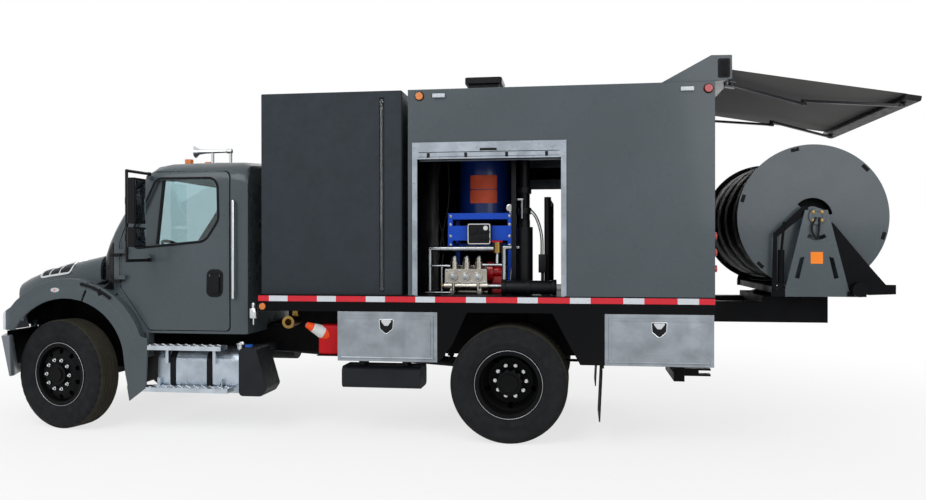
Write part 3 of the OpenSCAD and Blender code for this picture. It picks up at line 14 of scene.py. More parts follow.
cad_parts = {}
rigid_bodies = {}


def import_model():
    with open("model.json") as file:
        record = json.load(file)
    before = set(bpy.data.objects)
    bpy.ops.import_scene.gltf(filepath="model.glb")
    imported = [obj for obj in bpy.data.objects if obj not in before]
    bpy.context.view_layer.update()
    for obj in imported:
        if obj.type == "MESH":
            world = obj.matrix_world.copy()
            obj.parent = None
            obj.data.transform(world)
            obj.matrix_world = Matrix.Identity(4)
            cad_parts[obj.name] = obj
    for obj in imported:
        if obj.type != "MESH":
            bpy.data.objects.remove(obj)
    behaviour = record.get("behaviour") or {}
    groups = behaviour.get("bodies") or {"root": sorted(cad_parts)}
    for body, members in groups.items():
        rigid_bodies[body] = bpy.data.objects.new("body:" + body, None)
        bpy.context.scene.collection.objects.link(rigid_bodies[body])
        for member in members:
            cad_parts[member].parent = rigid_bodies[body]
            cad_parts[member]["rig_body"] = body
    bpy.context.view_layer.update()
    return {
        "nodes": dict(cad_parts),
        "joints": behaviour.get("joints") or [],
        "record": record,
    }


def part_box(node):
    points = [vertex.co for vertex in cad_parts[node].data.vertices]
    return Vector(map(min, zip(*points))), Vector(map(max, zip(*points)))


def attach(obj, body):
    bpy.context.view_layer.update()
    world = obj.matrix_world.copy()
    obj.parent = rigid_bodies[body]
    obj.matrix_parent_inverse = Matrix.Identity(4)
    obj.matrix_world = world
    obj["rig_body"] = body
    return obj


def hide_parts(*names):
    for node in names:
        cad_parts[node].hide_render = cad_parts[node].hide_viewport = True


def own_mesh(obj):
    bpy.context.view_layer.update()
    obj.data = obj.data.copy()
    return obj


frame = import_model()

bl_info = {
    "name": "Drain jetter truck",
    "version": (1, 0, 0),
    "blender": (4, 5, 0),
    "location": "View3D > Sidebar > Jetter",
    "description": "Dresses the solids of a truck-mounted drain jetter and adds its fittings",
    "category": "Add Mesh",
}

MM = 0.001
JOINTS = {joint["name"]: joint for joint in frame["joints"]}
FRONT_AXLE_X = JOINTS["left_steer"]["pos_m"][0]
REAR_AXLE_X = JOINTS["rear_left_spin"]["pos_m"][0]
REEL_AXIS = Vector(JOINTS["reel_spin"]["pos_m"])
BODY_LOW, BODY_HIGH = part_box("body_shell")
DECK_LOW, DECK_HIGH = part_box("bed_deck")
SIDE_Y = DECK_HIGH.y
BODY_TOP = BODY_HIGH.z - 185 * MM
TYRE_RADIUS = (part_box("rear_left_tyres")[1].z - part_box("rear_left_tyres")[0].z) / 2
SIDES = (("left", -1), ("right", 1))
# The finishes by name, filled in by the stage
FINISH = {}


def from_rear(x, y, z):
    """Point given in millimetres from the rear axle, the truck's middle line and the ground."""
    return Vector((REAR_AXLE_X + x * MM, y * MM, z * MM))


def from_front(x, y, z):
    """Point given in millimetres from the front axle, the truck's middle line and the ground."""
    return Vector((FRONT_AXLE_X + x * MM, y * MM, z * MM))


FRONT_AXLE = from_front(0, 0, 0)
REAR_AXLE = from_rear(0, 0, 0)


def linear(code):
    """Linear colour of an sRGB hex code."""
    parts = [int(code[i : i + 2], 16) / 255 for i in (1, 3, 5)]
    return tuple(c / 12.92 if c <= 0.04045 else ((c + 0.055) / 1.055) ** 2.4 for c in parts)


def rgba(colour):
    """Colour of a hex code or a linear triple, with alpha."""
    return (*(linear(colour) if isinstance(colour, str) else colour), 1.0)


def colour_setting(name, description, code):
    return bpy.props.FloatVectorProperty(
        name=name, description=description, subtype="COLOR", size=3, min=0, max=1, default=linear(code)
    )


def length_setting(name, description, millimetres):
    return bpy.props.FloatProperty(
        name=name, description=description, subtype="DISTANCE", unit="LENGTH", min=0, default=millimetres * MM
    )


class JetterFinish(bpy.types.PropertyGroup):
    """Colours that a fleet owner would change."""

    paint: colour_setting("Paint", "Gloss paint of the cab, the body and the reel", "#454e53")
    chassis: colour_setting("Chassis", "Satin black of the frame, the deck and the rims", "#08090c")
    tank: colour_setting("Tank", "Moulded water tank", "#2c3238")
    heater: colour_setting("Heater", "Blue of the water heater", "#0b52d6")
    drive: colour_setting("Drive", "Red of the pump drive", "#bf141b")
    cloth: colour_setting("Cloth", "Underside of the awning's cloth", "#2d2a27")
    tape_red: colour_setting("Tape red", "Red blocks of the reflective tape", "#c81026")
    tape_silver: colour_setting("Tape silver", "Silver blocks of the reflective tape", "#c8cdd4")


class JetterSizes(bpy.types.PropertyGroup):
    """Sizes of the fittings that the solids leave out."""

    tape_height: length_setting("Tape height", "Height of the reflective tape", 51)
    tape_red_length: length_setting("Red length", "Length of a red block of tape", 279)
    tape_silver_length: length_setting("Silver length", "Length of a silver block of tape", 178)
    hose_diameter: length_setting("Hose", "Diameter of the jetting hose", 42)
    lens: bpy.props.FloatProperty(
        name="Lens", description="Focal length of the camera, in millimetres", min=10, default=31.65
    )


def finish_settings():
    return bpy.context.scene.jetter_finish


def size_settings():
    return bpy.context.scene.jetter_sizes


# Modelling helpers


def pick(*pieces):
    """Selects these pieces alone, and makes the first one active."""
    for piece in list(bpy.context.selected_objects):
        piece.select_set(False)
    for piece in pieces:
        piece.select_set(True)
    bpy.context.view_layer.objects.active = pieces[0]


@contextmanager
def editing(piece, whole=True):
    """Edit mode on one piece, with all of it selected, or the faces that were selected before."""
    pick(piece)
    bpy.ops.object.mode_set(mode="EDIT")
    bpy.ops.mesh.select_mode(type="FACE")
    if whole:
        bpy.ops.mesh.select_all(action="SELECT")
    yield
    bpy.ops.object.mode_set(mode="OBJECT")


def settle(piece):
    """Puts the piece's place into its mesh."""
    pick(piece)
    bpy.ops.object.transform_apply(location=True, rotation=True, scale=True)
    return piece


def modified(piece, kind, **settings):
    """Adds one modifier and applies it."""
    pick(piece)
    modifier = piece.modifiers.new(kind.lower(), kind)
    for key, value in settings.items():
        setattr(modifier, key, value)
    bpy.ops.object.modifier_apply(modifier=modifier.name)
    return piece


def rounded(piece, width, segments=2, angle=38):
    """Rounds the sharp edges to this width in millimetres."""
    return modified(
        piece, "BEVEL", width=width * MM, segments=segments, limit_method="ANGLE",
        angle_limit=math.radians(angle), use_clamp_overlap=False, harden_normals=False,
    )


def tidy_mesh(piece, outward=True):
    with editing(piece):
        bpy.ops.mesh.remove_doubles(threshold=0.00002)
        if outward:
            bpy.ops.mesh.normals_make_consistent(inside=False)
    return piece


def select_faces(piece, test):
    """Selects, in object mode, the faces whose centre passes the test."""
    for vertex in piece.data.vertices:
        vertex.select = False
    for edge in piece.data.edges:
        edge.select = False
    for face in piece.data.polygons:
        face.select = test(face.center)


def paint_where(piece, finish, test):
    """Gives this finish to the faces whose centre passes the test."""
    piece.data.materials.append(FINISH[finish])
    index = len(piece.data.materials) - 1
    for face in piece.data.polygons:
        if test(face.center):
            face.material_index = index
    return piece


def fitted(piece, name, body, slot, finish, angle=35):
    """Names a piece, gives it its finish and shading, and has it ride on its body."""
    piece.name = name
    piece.data.name = name
    piece.data.materials.clear()
    piece.data.materials.append(FINISH[finish])
    pick(piece)
    bpy.ops.object.shade_smooth_by_angle(angle=math.radians(angle))
    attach(piece, body)
    return piece


def joined(*pieces):
    """One piece out of several."""
    pick(*pieces)
    bpy.ops.object.join()
    return pieces[0]


def linked(name, data):
    """New object of a mesh or a curve."""
    piece = bpy.data.objects.new(name, data)
    bpy.context.collection.objects.link(piece)
    return piece


def copied(piece, matrix):
    """Copy of a piece with its own mesh, moved by a matrix."""
    twin = piece.copy()
    twin.data = piece.data.copy()
    twin.data.transform(matrix)
    bpy.context.collection.objects.link(twin)
    return twin


def plate(low, high, edge=2.0, segments=2):
    """Rounded block between two corners."""
    bpy.ops.mesh.primitive_cube_add(size=1, location=(low + high) / 2)
    piece = bpy.context.object
    piece.scale = high - low
    settle(piece)
    return rounded(piece, edge, segments) if edge else piece


def rod(start, end, radius, sides=28, edge=1.5):
    """Round bar between two points, with its ends chamfered."""
    along = end - start
    bpy.ops.mesh.primitive_cylinder_add(
        vertices=sides, radius=radius * MM, depth=along.length, location=(start + end) / 2,
        rotation=along.to_track_quat("Z", "Y").to_euler(),
    )
    piece = settle(bpy.context.object)
    return rounded(piece, edge, 2, 60) if edge else piece


def hoop(centre, axis, radius, thickness, sides=96, ring=12):
    """Ring of round wire about an axis."""
    bpy.ops.mesh.primitive_torus_add(
        location=centre, rotation=axis.to_track_quat("Z", "Y").to_euler(), major_segments=sides,
        minor_segments=ring, major_radius=radius * MM, minor_radius=thickness * MM,
    )
    return settle(bpy.context.object)


def pipe(points, radius, closed=False, sides=3, smooth=True):
    """Tube that follows a list of points."""
    curve = bpy.data.curves.new("run", "CURVE")
    curve.dimensions = "3D"
    curve.bevel_depth = radius * MM
    curve.bevel_resolution = sides
    curve.use_fill_caps = not closed
    curve.resolution_u = 6
    run = curve.splines.new("NURBS" if smooth else "POLY")
    run.points.add(len(points) - 1)
    for point, place in zip(run.points, points):
        point.co = (*place, 1)
    run.use_cyclic_u = closed
    if smooth:
        run.order_u = 3
        run.use_endpoint_u = not closed
    pick(linked("run", curve))
    bpy.ops.object.convert(target="MESH")
    return tidy_mesh(bpy.context.object)


def sheet_of(points, depth):
    """Flat outline pushed along a vector into a solid."""
    mesh = bpy.data.meshes.new("outline")
    mesh.from_pydata([tuple(p) for p in points], [], [tuple(range(len(points)))])
    piece = linked("outline", mesh)
    with editing(piece):
        bpy.ops.mesh.extrude_region_move(TRANSFORM_OT_translate={"value": depth})
    return tidy_mesh(piece)


def turned(profile, steps=96):
    """Profile of [radius, distance along the axis] pairs in millimetres, spun about the Y axis."""
    mesh = bpy.data.meshes.new("profile")
    count = len(profile)
    mesh.from_pydata(
        [(r * MM, a * MM, 0) for r, a in profile], [(i, (i + 1) % count) for i in range(count)], []
    )
    piece = linked("profile", mesh)
    with editing(piece):
        bpy.ops.mesh.select_mode(type="EDGE")
        bpy.ops.mesh.select_all(action="SELECT")
        bpy.ops.mesh.spin(steps=steps, angle=math.tau, center=(0, 0, 0), axis=(0, 1, 0))
    return tidy_mesh(piece)


def dress(node, finish, edge=2.0, angle=38, segments=2, smooth=35, flatten=0.6):
    """Copy of a CAD node with its facets joined, its edges rounded and its finish; it replaces the node."""
    source = frame["nodes"][node]
    piece = linked(node + "_skin", source.data.copy())
    with editing(piece):
        bpy.ops.mesh.customdata_custom_splitnormals_clear()
        bpy.ops.mesh.remove_doubles(threshold=0.00002)
        bpy.ops.mesh.dissolve_limited(angle_limit=math.radians(flatten))
    if edge:
        rounded(piece, edge, segments, angle)
    body = source["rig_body"]
    slot = next(s["material_slot"] for s in frame["record"]["subparts"] if s["node"] == node)
    fitted(piece, node + "_skin", body, slot, finish, smooth)
    modified(piece, "WEIGHTED_NORMAL", keep_sharp=True, weight=60)
    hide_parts(node)
    return piece


def softened(corners, steps=6):
    """Closed outline of (x, z) points, with each corner (x, z, radius) rounded."""
    outline = []
    for i, (x, z, radius) in enumerate(corners):
        corner = Vector((x, z))
        before = (Vector(corners[i - 1][:2]) - corner).normalized()
        after = (Vector(corners[(i + 1) % len(corners)][:2]) - corner).normalized()
        half = math.acos(before.dot(after)) / 2
        centre = corner + (before + after).normalized() * radius / math.sin(half)
        first = corner + before * radius / math.tan(half) - centre
        last = corner + after * radius / math.tan(half) - centre
        start = math.atan2(first.y, first.x)
        sweep = (math.atan2(last.y, last.x) - start + math.pi) % math.tau - math.pi
        for k in range(steps + 1):
            a = start + sweep * k / steps
            outline.append(centre + radius * Vector((math.cos(a), math.sin(a))))
    return outline


def divided(outline, step=40):
    """Outline with no side longer than this step."""
    points = []
    for i, point in enumerate(outline):
        following = outline[(i + 1) % len(outline)]
        cuts = max(1, math.ceil((following - point).length / step))
        points += [point.lerp(following, k / cuts) for k in range(cuts)]
    return points


def widened(outline, distance):
    """Outline moved outwards by a distance."""
    count = len(outline)
    area = sum(outline[i - 1].cross(outline[i]) for i in range(count))
    sign = 1 if area > 0 else -1
    moved = []
    for i, point in enumerate(outline):
        along = (outline[(i + 1) % count] - outline[i - 1]).normalized()
        moved.append(point + sign * distance * Vector((along.y, -along.x)))
    return moved


def laid(rows, origin, target, thickness, side=-1):
    """Rings of (x, z) millimetre points from an origin, laid on the side of a piece and thickened."""
    count = len(rows[0])
    places = [(origin.x + p.x * MM, side * 2.0, origin.z + p.y * MM) for row in rows for p in row]
    faces = []
    for k in range(len(rows) - 1):
        for i in range(count):
            j = (i + 1) % count
            faces.append((k * count + i, k * count + j, (k + 1) * count + j, (k + 1) * count + i))
    mesh = bpy.data.meshes.new("laid")
    mesh.from_pydata(places, [], faces)
    piece = linked("laid", mesh)
    if mesh.polygons[0].normal.y * side < 0:
        with editing(piece):
            bpy.ops.mesh.flip_normals()
    modified(
        piece, "SHRINKWRAP", target=target, wrap_method="PROJECT", use_project_y=True,
        use_positive_direction=side < 0, use_negative_direction=side > 0,
    )
    if max(abs(v.co.y) for v in piece.data.vertices) > 1.9:
        raise RuntimeError("a laid piece misses the surface that carries it: " + str(len(rows)))
    return modified(piece, "SOLIDIFY", thickness=thickness * MM, offset=0.8)


def patch_rows(outline):
    """Rings from an outline to its middle."""
    middle = sum(outline, Vector((0, 0))) / len(outline)
    return [[middle + (p - middle) * share for p in outline] for share in (1, 0.75, 0.5, 0.25, 0.01)]


def slab(x0, z0, x1, z1, radius):
    """Corners of an upright rectangle, each with its radius."""
    return [(x0, z0, radius), (x1, z0, radius), (x1, z1, radius), (x0, z1, radius)]


def bare(x0, z0, x1, z1):
    """Outline of an upright rectangle with sharp corners."""
    return [Vector(p) for p in ((x0, z0), (x1, z0), (x1, z1), (x0, z1))]


def overlay(name, body, slot, finish, rows, target, thickness, side=-1, edge=2.0, origin=FRONT_AXLE):
    """Fitting laid on the side of a piece, with its edges rounded unless edge is zero."""
    piece = laid(rows, origin, target, thickness, side)
    return fitted(rounded(piece, edge) if edge else piece, name, body, slot, finish)


def oval(x, z, width, height, count=36):
    """Oval outline of (x, z) points."""
    turns = [math.tau * k / count for k in range(count)]
    return [Vector((x + width / 2 * math.cos(a), z + height / 2 * math.sin(a))) for a in turns]


def polar(radius, degrees):
    """Plane vector of this length at this angle."""
    turn = math.radians(degrees)
    return radius * Vector((math.cos(turn), math.sin(turn)))


def bolt(place, axis, size=9.0):
    """Hexagon bolt head on its washer, standing out along an axis."""
    axis = axis.normalized()
    washer = rod(place, place + axis * size * 0.25 * MM, size * 1.25, 20, 0.4)
    head = rod(place + axis * size * 0.2 * MM, place + axis * size * 0.85 * MM, size, 6, 0.8)
    return joined(washer, head)


# Materials


def add(tree, kind, sockets=None, **settings):
    """One node with its settings; a socket takes a value or another node's output."""
    node = tree.nodes.new("ShaderNode" + kind)
    for key, value in settings.items():
        setattr(node, key, value)
    for key, value in (sockets or {}).items():
        if isinstance(value, bpy.types.NodeSocket):
            tree.links.new(value, node.inputs[key])
        else:
            node.inputs[key].default_value = value
    return node


def surface(name, colour, roughness, **sockets):
    """Material with one Principled shader, and the Object coordinates that its patterns read."""
    material = bpy.data.materials.new(name)
    material.use_nodes = True
    tree = material.node_tree
    tree.nodes.clear()
    settings = {"Base Color": rgba(colour), "Roughness": roughness, "Specular IOR Level": 0.2}
    settings.update({key.replace("_", " "): value for key, value in sockets.items()})
    shader = add(tree, "BsdfPrincipled", settings)
    add(tree, "OutputMaterial", {"Surface": shader.outputs[0]})
    place = add(tree, "TexCoord").outputs["Object"]
    return material, tree, shader, place


def per_mm(millimetres):
    """Texture scale whose features are about this many millimetres across."""
    return 1000 / millimetres


def shaded(colour, share):
    """Darker shade of a colour."""
    return tuple(c * share for c in rgba(colour)[:3])


def noise(tree, place, millimetres, detail=2.0):
    """Noise whose features are about this many millimetres across."""
    sockets = {"Vector": place, "Scale": per_mm(millimetres), "Detail": detail}
    return add(tree, "TexNoise", sockets).outputs["Fac"]


def clouded(tree, place, colour, share, millimetres, detail=4.0):
    """Colour that drifts to a darker shade in clouds about this many millimetres across."""
    clouds = noise(tree, place, millimetres, detail)
    tone = add(tree, "MapRange", {"Value": clouds, "From Min": 0.35, "From Max": 0.65})
    colours = {0: tone.outputs[0], 6: rgba(colour), 7: rgba(shaded(colour, share))}
    return add(tree, "Mix", colours, data_type="RGBA").outputs[2]


def varied(tree, pattern, roughness, low, high):
    """Roughness that follows a pattern between two shares of its value."""
    ends = {"From Min": 0.3, "From Max": 0.7, "To Min": roughness * low, "To Max": roughness * high}
    return add(tree, "MapRange", {"Value": pattern, **ends}).outputs[0]


def relief(tree, pattern, millimetres, strength=0.4):
    """Normal of a surface that a pattern raises by this many millimetres."""
    sockets = {"Height": pattern, "Distance": millimetres * MM, "Strength": strength}
    return add(tree, "Bump", sockets).outputs[0]


def wired(material, shader, **sockets):
    """Leads outputs into the shader's sockets, and gives the material back."""
    for key, output in sockets.items():
        material.node_tree.links.new(output, shader.inputs[key.replace("_", " ")])
    return material


def painted(name, colour, roughness=0.28, coat=0.25, shade=0.9, dust=0.06, mirror=0.2):
    """Sprayed enamel: a clear gloss over orange peel about 7 mm across, with dust settled low down."""
    material, tree, shader, place = surface(
        name, colour, roughness, Coat_Weight=coat, Coat_Roughness=0.1, Specular_IOR_Level=mirror
    )
    height = add(tree, "SeparateXYZ", {"Vector": place}).outputs["Z"]
    settled = {"Value": height, "From Min": 0.3, "From Max": 1.3, "To Min": dust, "To Max": 0.0}
    low = add(tree, "MapRange", settled).outputs[0]
    patches = noise(tree, place, 240, 4.0)
    film = add(tree, "Math", {0: low, 1: patches}, operation="MULTIPLY").outputs[0]
    clean = clouded(tree, place, colour, shade, 900, 2.0)
    dusty = add(tree, "Mix", {0: film, 6: clean, 7: rgba("#8b8577")}, data_type="RGBA").outputs[2]
    dull = varied(tree, patches, roughness, 0.8, 1.25)
    peel = relief(tree, noise(tree, place, 7), 0.06, 0.25)
    return wired(material, shader, Base_Color=dusty, Roughness=dull, Normal=peel)


def brushed(name, colour, roughness=0.38, grain=(400, 6, 6), metallic=1.0, depth=0.15):
    """Brushed metal: streaks of this length and width in millimetres, and cloudy handling marks."""
    material, tree, shader, place = surface(name, colour, roughness, Metallic=metallic)
    along = add(tree, "Mapping", {"Vector": place, "Scale": tuple(per_mm(g) for g in grain)})
    streaks = noise(tree, along.outputs[0], 1000, 4.0)
    marked = clouded(tree, place, colour, 0.74, 160)
    dull = varied(tree, streaks, roughness, 0.7, 1.35)
    return wired(material, shader, Base_Color=marked, Roughness=dull, Normal=relief(tree, streaks, depth))


def moulded(name, colour, roughness=0.5, grain=3.0, depth=0.3, fade=0.8, mirror=0.15):
    """Moulded plastic or rubber: a pebble grain of this many millimetres, and a slightly uneven tone."""
    material, tree, shader, place = surface(name, colour, roughness, Specular_IOR_Level=mirror)
    uneven = clouded(tree, place, colour, fade, 180)
    dull = varied(tree, noise(tree, place, 60), roughness, 0.85, 1.15)
    pebbles = relief(tree, noise(tree, place, grain), depth)
    return wired(material, shader, Base_Color=uneven, Roughness=dull, Normal=pebbles)


def plated(name, colour="#d6d9db", roughness=0.14):
    """Chromed or polished metal: a bright mirror with faint wipe marks about 90 mm across."""
    material, tree, shader, place = surface(name, colour, roughness, Metallic=1.0)
    dull = varied(tree, noise(tree, place, 90, 4.0), roughness, 0.6, 1.8)
    return wired(material, shader, Roughness=dull)


def lens(name, colour, glow=0.06):
    """Moulded lamp lens: coloured clear plastic with prisms about 5 mm apart, and a faint painted glow in its
    own colour.
    """
    material, tree, shader, place = surface(
        name, colour, 0.12, Transmission_Weight=0.25, IOR=1.49, Specular_IOR_Level=0.5, Coat_Weight=0.5,
        Emission_Color=rgba(colour), Emission_Strength=glow,
    )
    prisms = add(tree, "TexVoronoi", {"Vector": place, "Scale": per_mm(5)}).outputs["Distance"]
    return wired(material, shader, Normal=relief(tree, prisms, 1.2, 0.5))


def pane(name, colour="#d9e6ea"):
    """Tinted float glass with a trace of road film."""
    material, tree, shader, place = surface(
        name, colour, 0.02, Transmission_Weight=1.0, IOR=1.5, Specular_IOR_Level=0.5
    )
    smeared = {"Value": noise(tree, place, 300), "From Min": 0.4, "From Max": 0.7, "To Max": 0.04}
    return wired(material, shader, Roughness=add(tree, "MapRange", smeared).outputs[0])


def retroreflective(name, colour):
    """Prismatic tape: sealed cells under a clear film, drawn 9 mm wide, so that they show."""
    material, tree, shader, place = surface(name, colour, 0.3, Coat_Weight=0.5, Coat_Roughness=0.1)
    spread = {"Vector": place, "Scale": per_mm(9)}
    cells = add(tree, "TexVoronoi", spread, feature="DISTANCE_TO_EDGE").outputs["Distance"]
    web = add(tree, "MapRange", {"Value": cells, "From Min": 0.02, "From Max": 0.08})
    colours = {0: web.outputs[0], 6: rgba(shaded(colour, 0.75)), 7: rgba(colour)}
    sealed = add(tree, "Mix", colours, data_type="RGBA").outputs[2]
    return wired(material, shader, Base_Color=sealed, Normal=relief(tree, cells, 0.3, 0.3))


def woven(name, colour, thread=9.0):
    """Woven acrylic cloth: a plain weave drawn at this thread spacing, so that it shows."""
    material, tree, shader, place = surface(name, colour, 0.85, Sheen_Weight=0.3, Sheen_Roughness=0.5)
    wave = {"Vector": place, "Scale": per_mm(thread) / 20, "Distortion": 0.4, "Detail": 1.0}
    warp, weft = (add(tree, "TexWave", wave, bands_direction=way).outputs["Fac"] for way in "XY")
    weave = add(tree, "Math", {0: warp, 1: weft}, operation="MULTIPLY").outputs[0]
    faded = clouded(tree, place, colour, 0.7, 400)
    return wired(material, shader, Base_Color=faded, Normal=relief(tree, weave, 0.4))


def make_finishes():
    """All the finishes, by name."""
    colours = finish_settings()
    return {
        "paint": painted("sprayed_grey_enamel", tuple(colours.paint)),
        "chassis": painted("satin_black_chassis_paint", tuple(colours.chassis), 0.5, 0.0, 0.8, 0.02, 0.07),
        # The bay finish is near-black with almost no reflection: painted shade for the inside of the bay and
        # for what sits in shade there
        "bay": painted("bay_painted_shade_black", "#030304", 0.7, 0.0, 0.8, 0.0, 0.02),
        "iron": moulded("cast_iron_and_grime", "#1a1b1e", 0.7, 6, 0.6),
        "bumper": painted("silver_bumper_enamel", "#757c83", 0.35, 0.2),
        "aluminium": brushed("mill_finish_aluminium", "#949ba2", 0.42),
        "tread": brushed("ribbed_step_aluminium", "#c3ccd5", 0.4, (90, 90, 6)),
        "fuel": brushed("brushed_tank_aluminium", "#b7c2cd", 0.36, (6, 6, 400)),
        "frame_bar": brushed("anodised_shutter_aluminium", "#9aa2ab", 0.36, (30, 30, 30), 1.0, 0.05),
        "slat": brushed("satin_slat_aluminium", "#6c737a", 0.4),
        "chrome": plated("chromed_steel", "#c9cdd0"),
        "steel": brushed("zinc_plated_steel", "#a2a6a9", 0.3, (60, 60, 60)),
        "bronze": brushed("nickel_bronze_casting", "#a8a49b", 0.22, (40, 40, 40), 1.0, 0.4),
        "brass": brushed("yellow_brass", "#9a7d48", 0.32, (40, 40, 40)),
        "glass": pane("green_tinted_glass", "#c9dde0"),
        "mirror": plated("silvered_mirror", "#4d545b", 0.05),
        "trim": moulded("black_exterior_plastic", "#0e0f12", 0.45, 2.0, 0.2),
        "cabin": moulded("grey_cabin_plastic", "#2b2c2f", 0.6, 2.5, 0.3),
        "seat": woven("seat_cloth", "#2b2d31", 6.0),
        "tank": moulded("rotomoulded_polyethylene", tuple(colours.tank), 0.62, 5.0, 0.5, 0.9),
        "plastic": moulded("blow_moulded_tank_plastic", "#202226", 0.55, 4.0, 0.4),
        "rubber": moulded("black_rubber", "#0f1012", 0.7, 3.0, 0.3),
        "tyre": moulded("tyre_rubber", "#1e1f21", 0.82, 4.0, 0.4, 0.75),
        "tread_rubber": moulded("dusty_tread_rubber", "#38362f", 0.9, 5.0, 0.5, 0.8, 0.05),
        "hose": moulded("hose_cover", "#0e0f11", 0.5, 2.0, 0.2),
        "amber": lens("amber_lens", "#d9761c"),
        "red": lens("red_lens", "#a80c14"),
        "clear": lens("clear_lens", "#c2cbd4"),
        "arm": painted("dark_arm_enamel", "#36343a", 0.4, 0.1, 0.9, 0.0),
        "heater": painted("blue_heater_enamel", tuple(colours.heater), 0.35, 0.1, 0.8, 0.0),
        "drum": painted("deep_blue_drum_enamel", "#08245f", 0.35, 0.2, 0.7, 0.0),
        "drive": painted("red_drive_enamel", tuple(colours.drive), 0.3, 0.4, 0.8, 0.0),
        "plaque": moulded("rust_coloured_plaque", "#b2492f", 0.5, 2.0, 0.1),
        "orange": moulded("orange_plastic", "#e8501c", 0.5, 2.0, 0.1, 0.9),
        "orange_panel": moulded("orange_plaque", "#f0842a", 0.5, 2.0, 0.1, 0.92),
        "white": moulded("white_plastic", "#d4d6d6", 0.45, 2.0, 0.1, 0.92),
        "can": moulded("red_container_plastic", "#b8141c", 0.45, 4.0, 0.3, 0.85),
        "blue_cap": moulded("blue_cap_plastic", "#2c62c8", 0.4, 2.0, 0.1),
        "clear_tube": pane("clear_level_tube", "#d6dbd8"),
        "cloth": woven("awning_cloth_underside", tuple(colours.cloth)),
        "cloth_top": woven("awning_cloth_top", "#17181a"),
        "tape_red": retroreflective("red_prismatic_tape", tuple(colours.tape_red)),
        "tape_silver": retroreflective("silver_prismatic_tape", tuple(colours.tape_silver)),
    }


# Pieces


class JETTER_OT_stage(bpy.types.Operator):
    """Camera at the photograph's place, a pale floor, white surroundings and soft lamps"""

    bl_idname = "jetter.stage"
    bl_label = "Stage"

    def execute(self, context):
        FINISH.update(make_finishes())
        scene = context.scene
        scene.view_settings.view_transform = "Standard"
        self.camera(scene)
        self.world(scene)
        self.floor()
        self.lamp("key", (-3.5, -9.0, 8.5), 7.0, 580)
        self.lamp("fill", (6.0, -9.0, 5.0), 6.0, 270)
        self.lamp("back", (1.0, 9.0, 7.0), 7.0, 320)
        return {"FINISHED"}

    # The photograph's camera: its place in metres, and its pitch, roll and yaw in degrees
    EYE = (1.5058, -8.371, 1.7513)
    TURN = (90 - 0.24, 0.07, 8.14)

    def camera(self, scene):
        data = bpy.data.cameras.new("camera")
        data.sensor_width = 36
        data.lens = size_settings().lens
        eye = bpy.data.objects.new("camera", data)
        eye.location = self.EYE
        eye.rotation_euler = [math.radians(a) for a in self.TURN]
        scene.collection.objects.link(eye)
        scene.camera = eye

    def seen(self, tree):
        """One where the camera, a reflection or a clear pane looks, and zero for light on the object."""
        rays = add(tree, "LightPath").outputs
        looks = rays["Is Camera Ray"]
        for kind in ("Is Glossy Ray", "Is Transmission Ray"):
            looks = add(tree, "Math", {0: looks, 1: rays[kind]}, operation="MAXIMUM").outputs[0]
        return looks

    def world(self, scene):
        """White to the camera and to reflections, and a soft grey light on the object."""
        world = bpy.data.worlds.new("studio")
        scene.world = world
        world.use_nodes = True
        tree = world.node_tree
        tree.nodes.clear()
        strength = add(tree, "MapRange", {"Value": self.seen(tree), "To Min": 0.5, "To Max": 1.0})
        light = add(tree, "Background", {"Color": (1, 1, 1, 1), "Strength": strength.outputs[0]})
        add(tree, "OutputWorld", {"Surface": light.outputs[0]})

    def floor(self):
        """Pale floor that keeps the shadow under the truck and fades to white further out."""
        bpy.ops.mesh.primitive_plane_add(size=120, location=(0, 0, -0.002))
        floor = bpy.context.object
        floor.name = "floor"
        material, tree, shader, place = surface("pale_floor", "#f4f4f4", 0.9)
        reach = add(tree, "VectorMath", {0: place}, operation="LENGTH").outputs["Value"]
        spread = {"Value": reach, "From Min": 3.0, "From Max": 8.5, "To Min": 0.72, "To Max": 1.0}
        white = add(tree, "MapRange", spread, interpolation_type="SMOOTHSTEP").outputs[0]
        share = add(tree, "Math", {0: self.seen(tree), 1: white}, operation="MULTIPLY").outputs[0]
        glow = add(tree, "Emission", {"Color": (1, 1, 1, 1), "Strength": 1.0})
        blend = add(tree, "MixShader", {0: share, 1: shader.outputs[0], 2: glow.outputs[0]})
        out = next(n for n in tree.nodes if n.type == "OUTPUT_MATERIAL")
        tree.links.new(blend.outputs[0], out.inputs["Surface"])
        floor.data.materials.append(material)

    def lamp(self, name, place, size, power):
        data = bpy.data.lights.new(name, "AREA")
        data.size = size
        data.energy = power
        lamp = bpy.data.objects.new(name, data)
        lamp.location = place
        lamp.rotation_euler = (Vector((0, 0, 1.4)) - Vector(place)).to_track_quat("-Z", "Y").to_euler()
        bpy.context.scene.collection.objects.link(lamp)


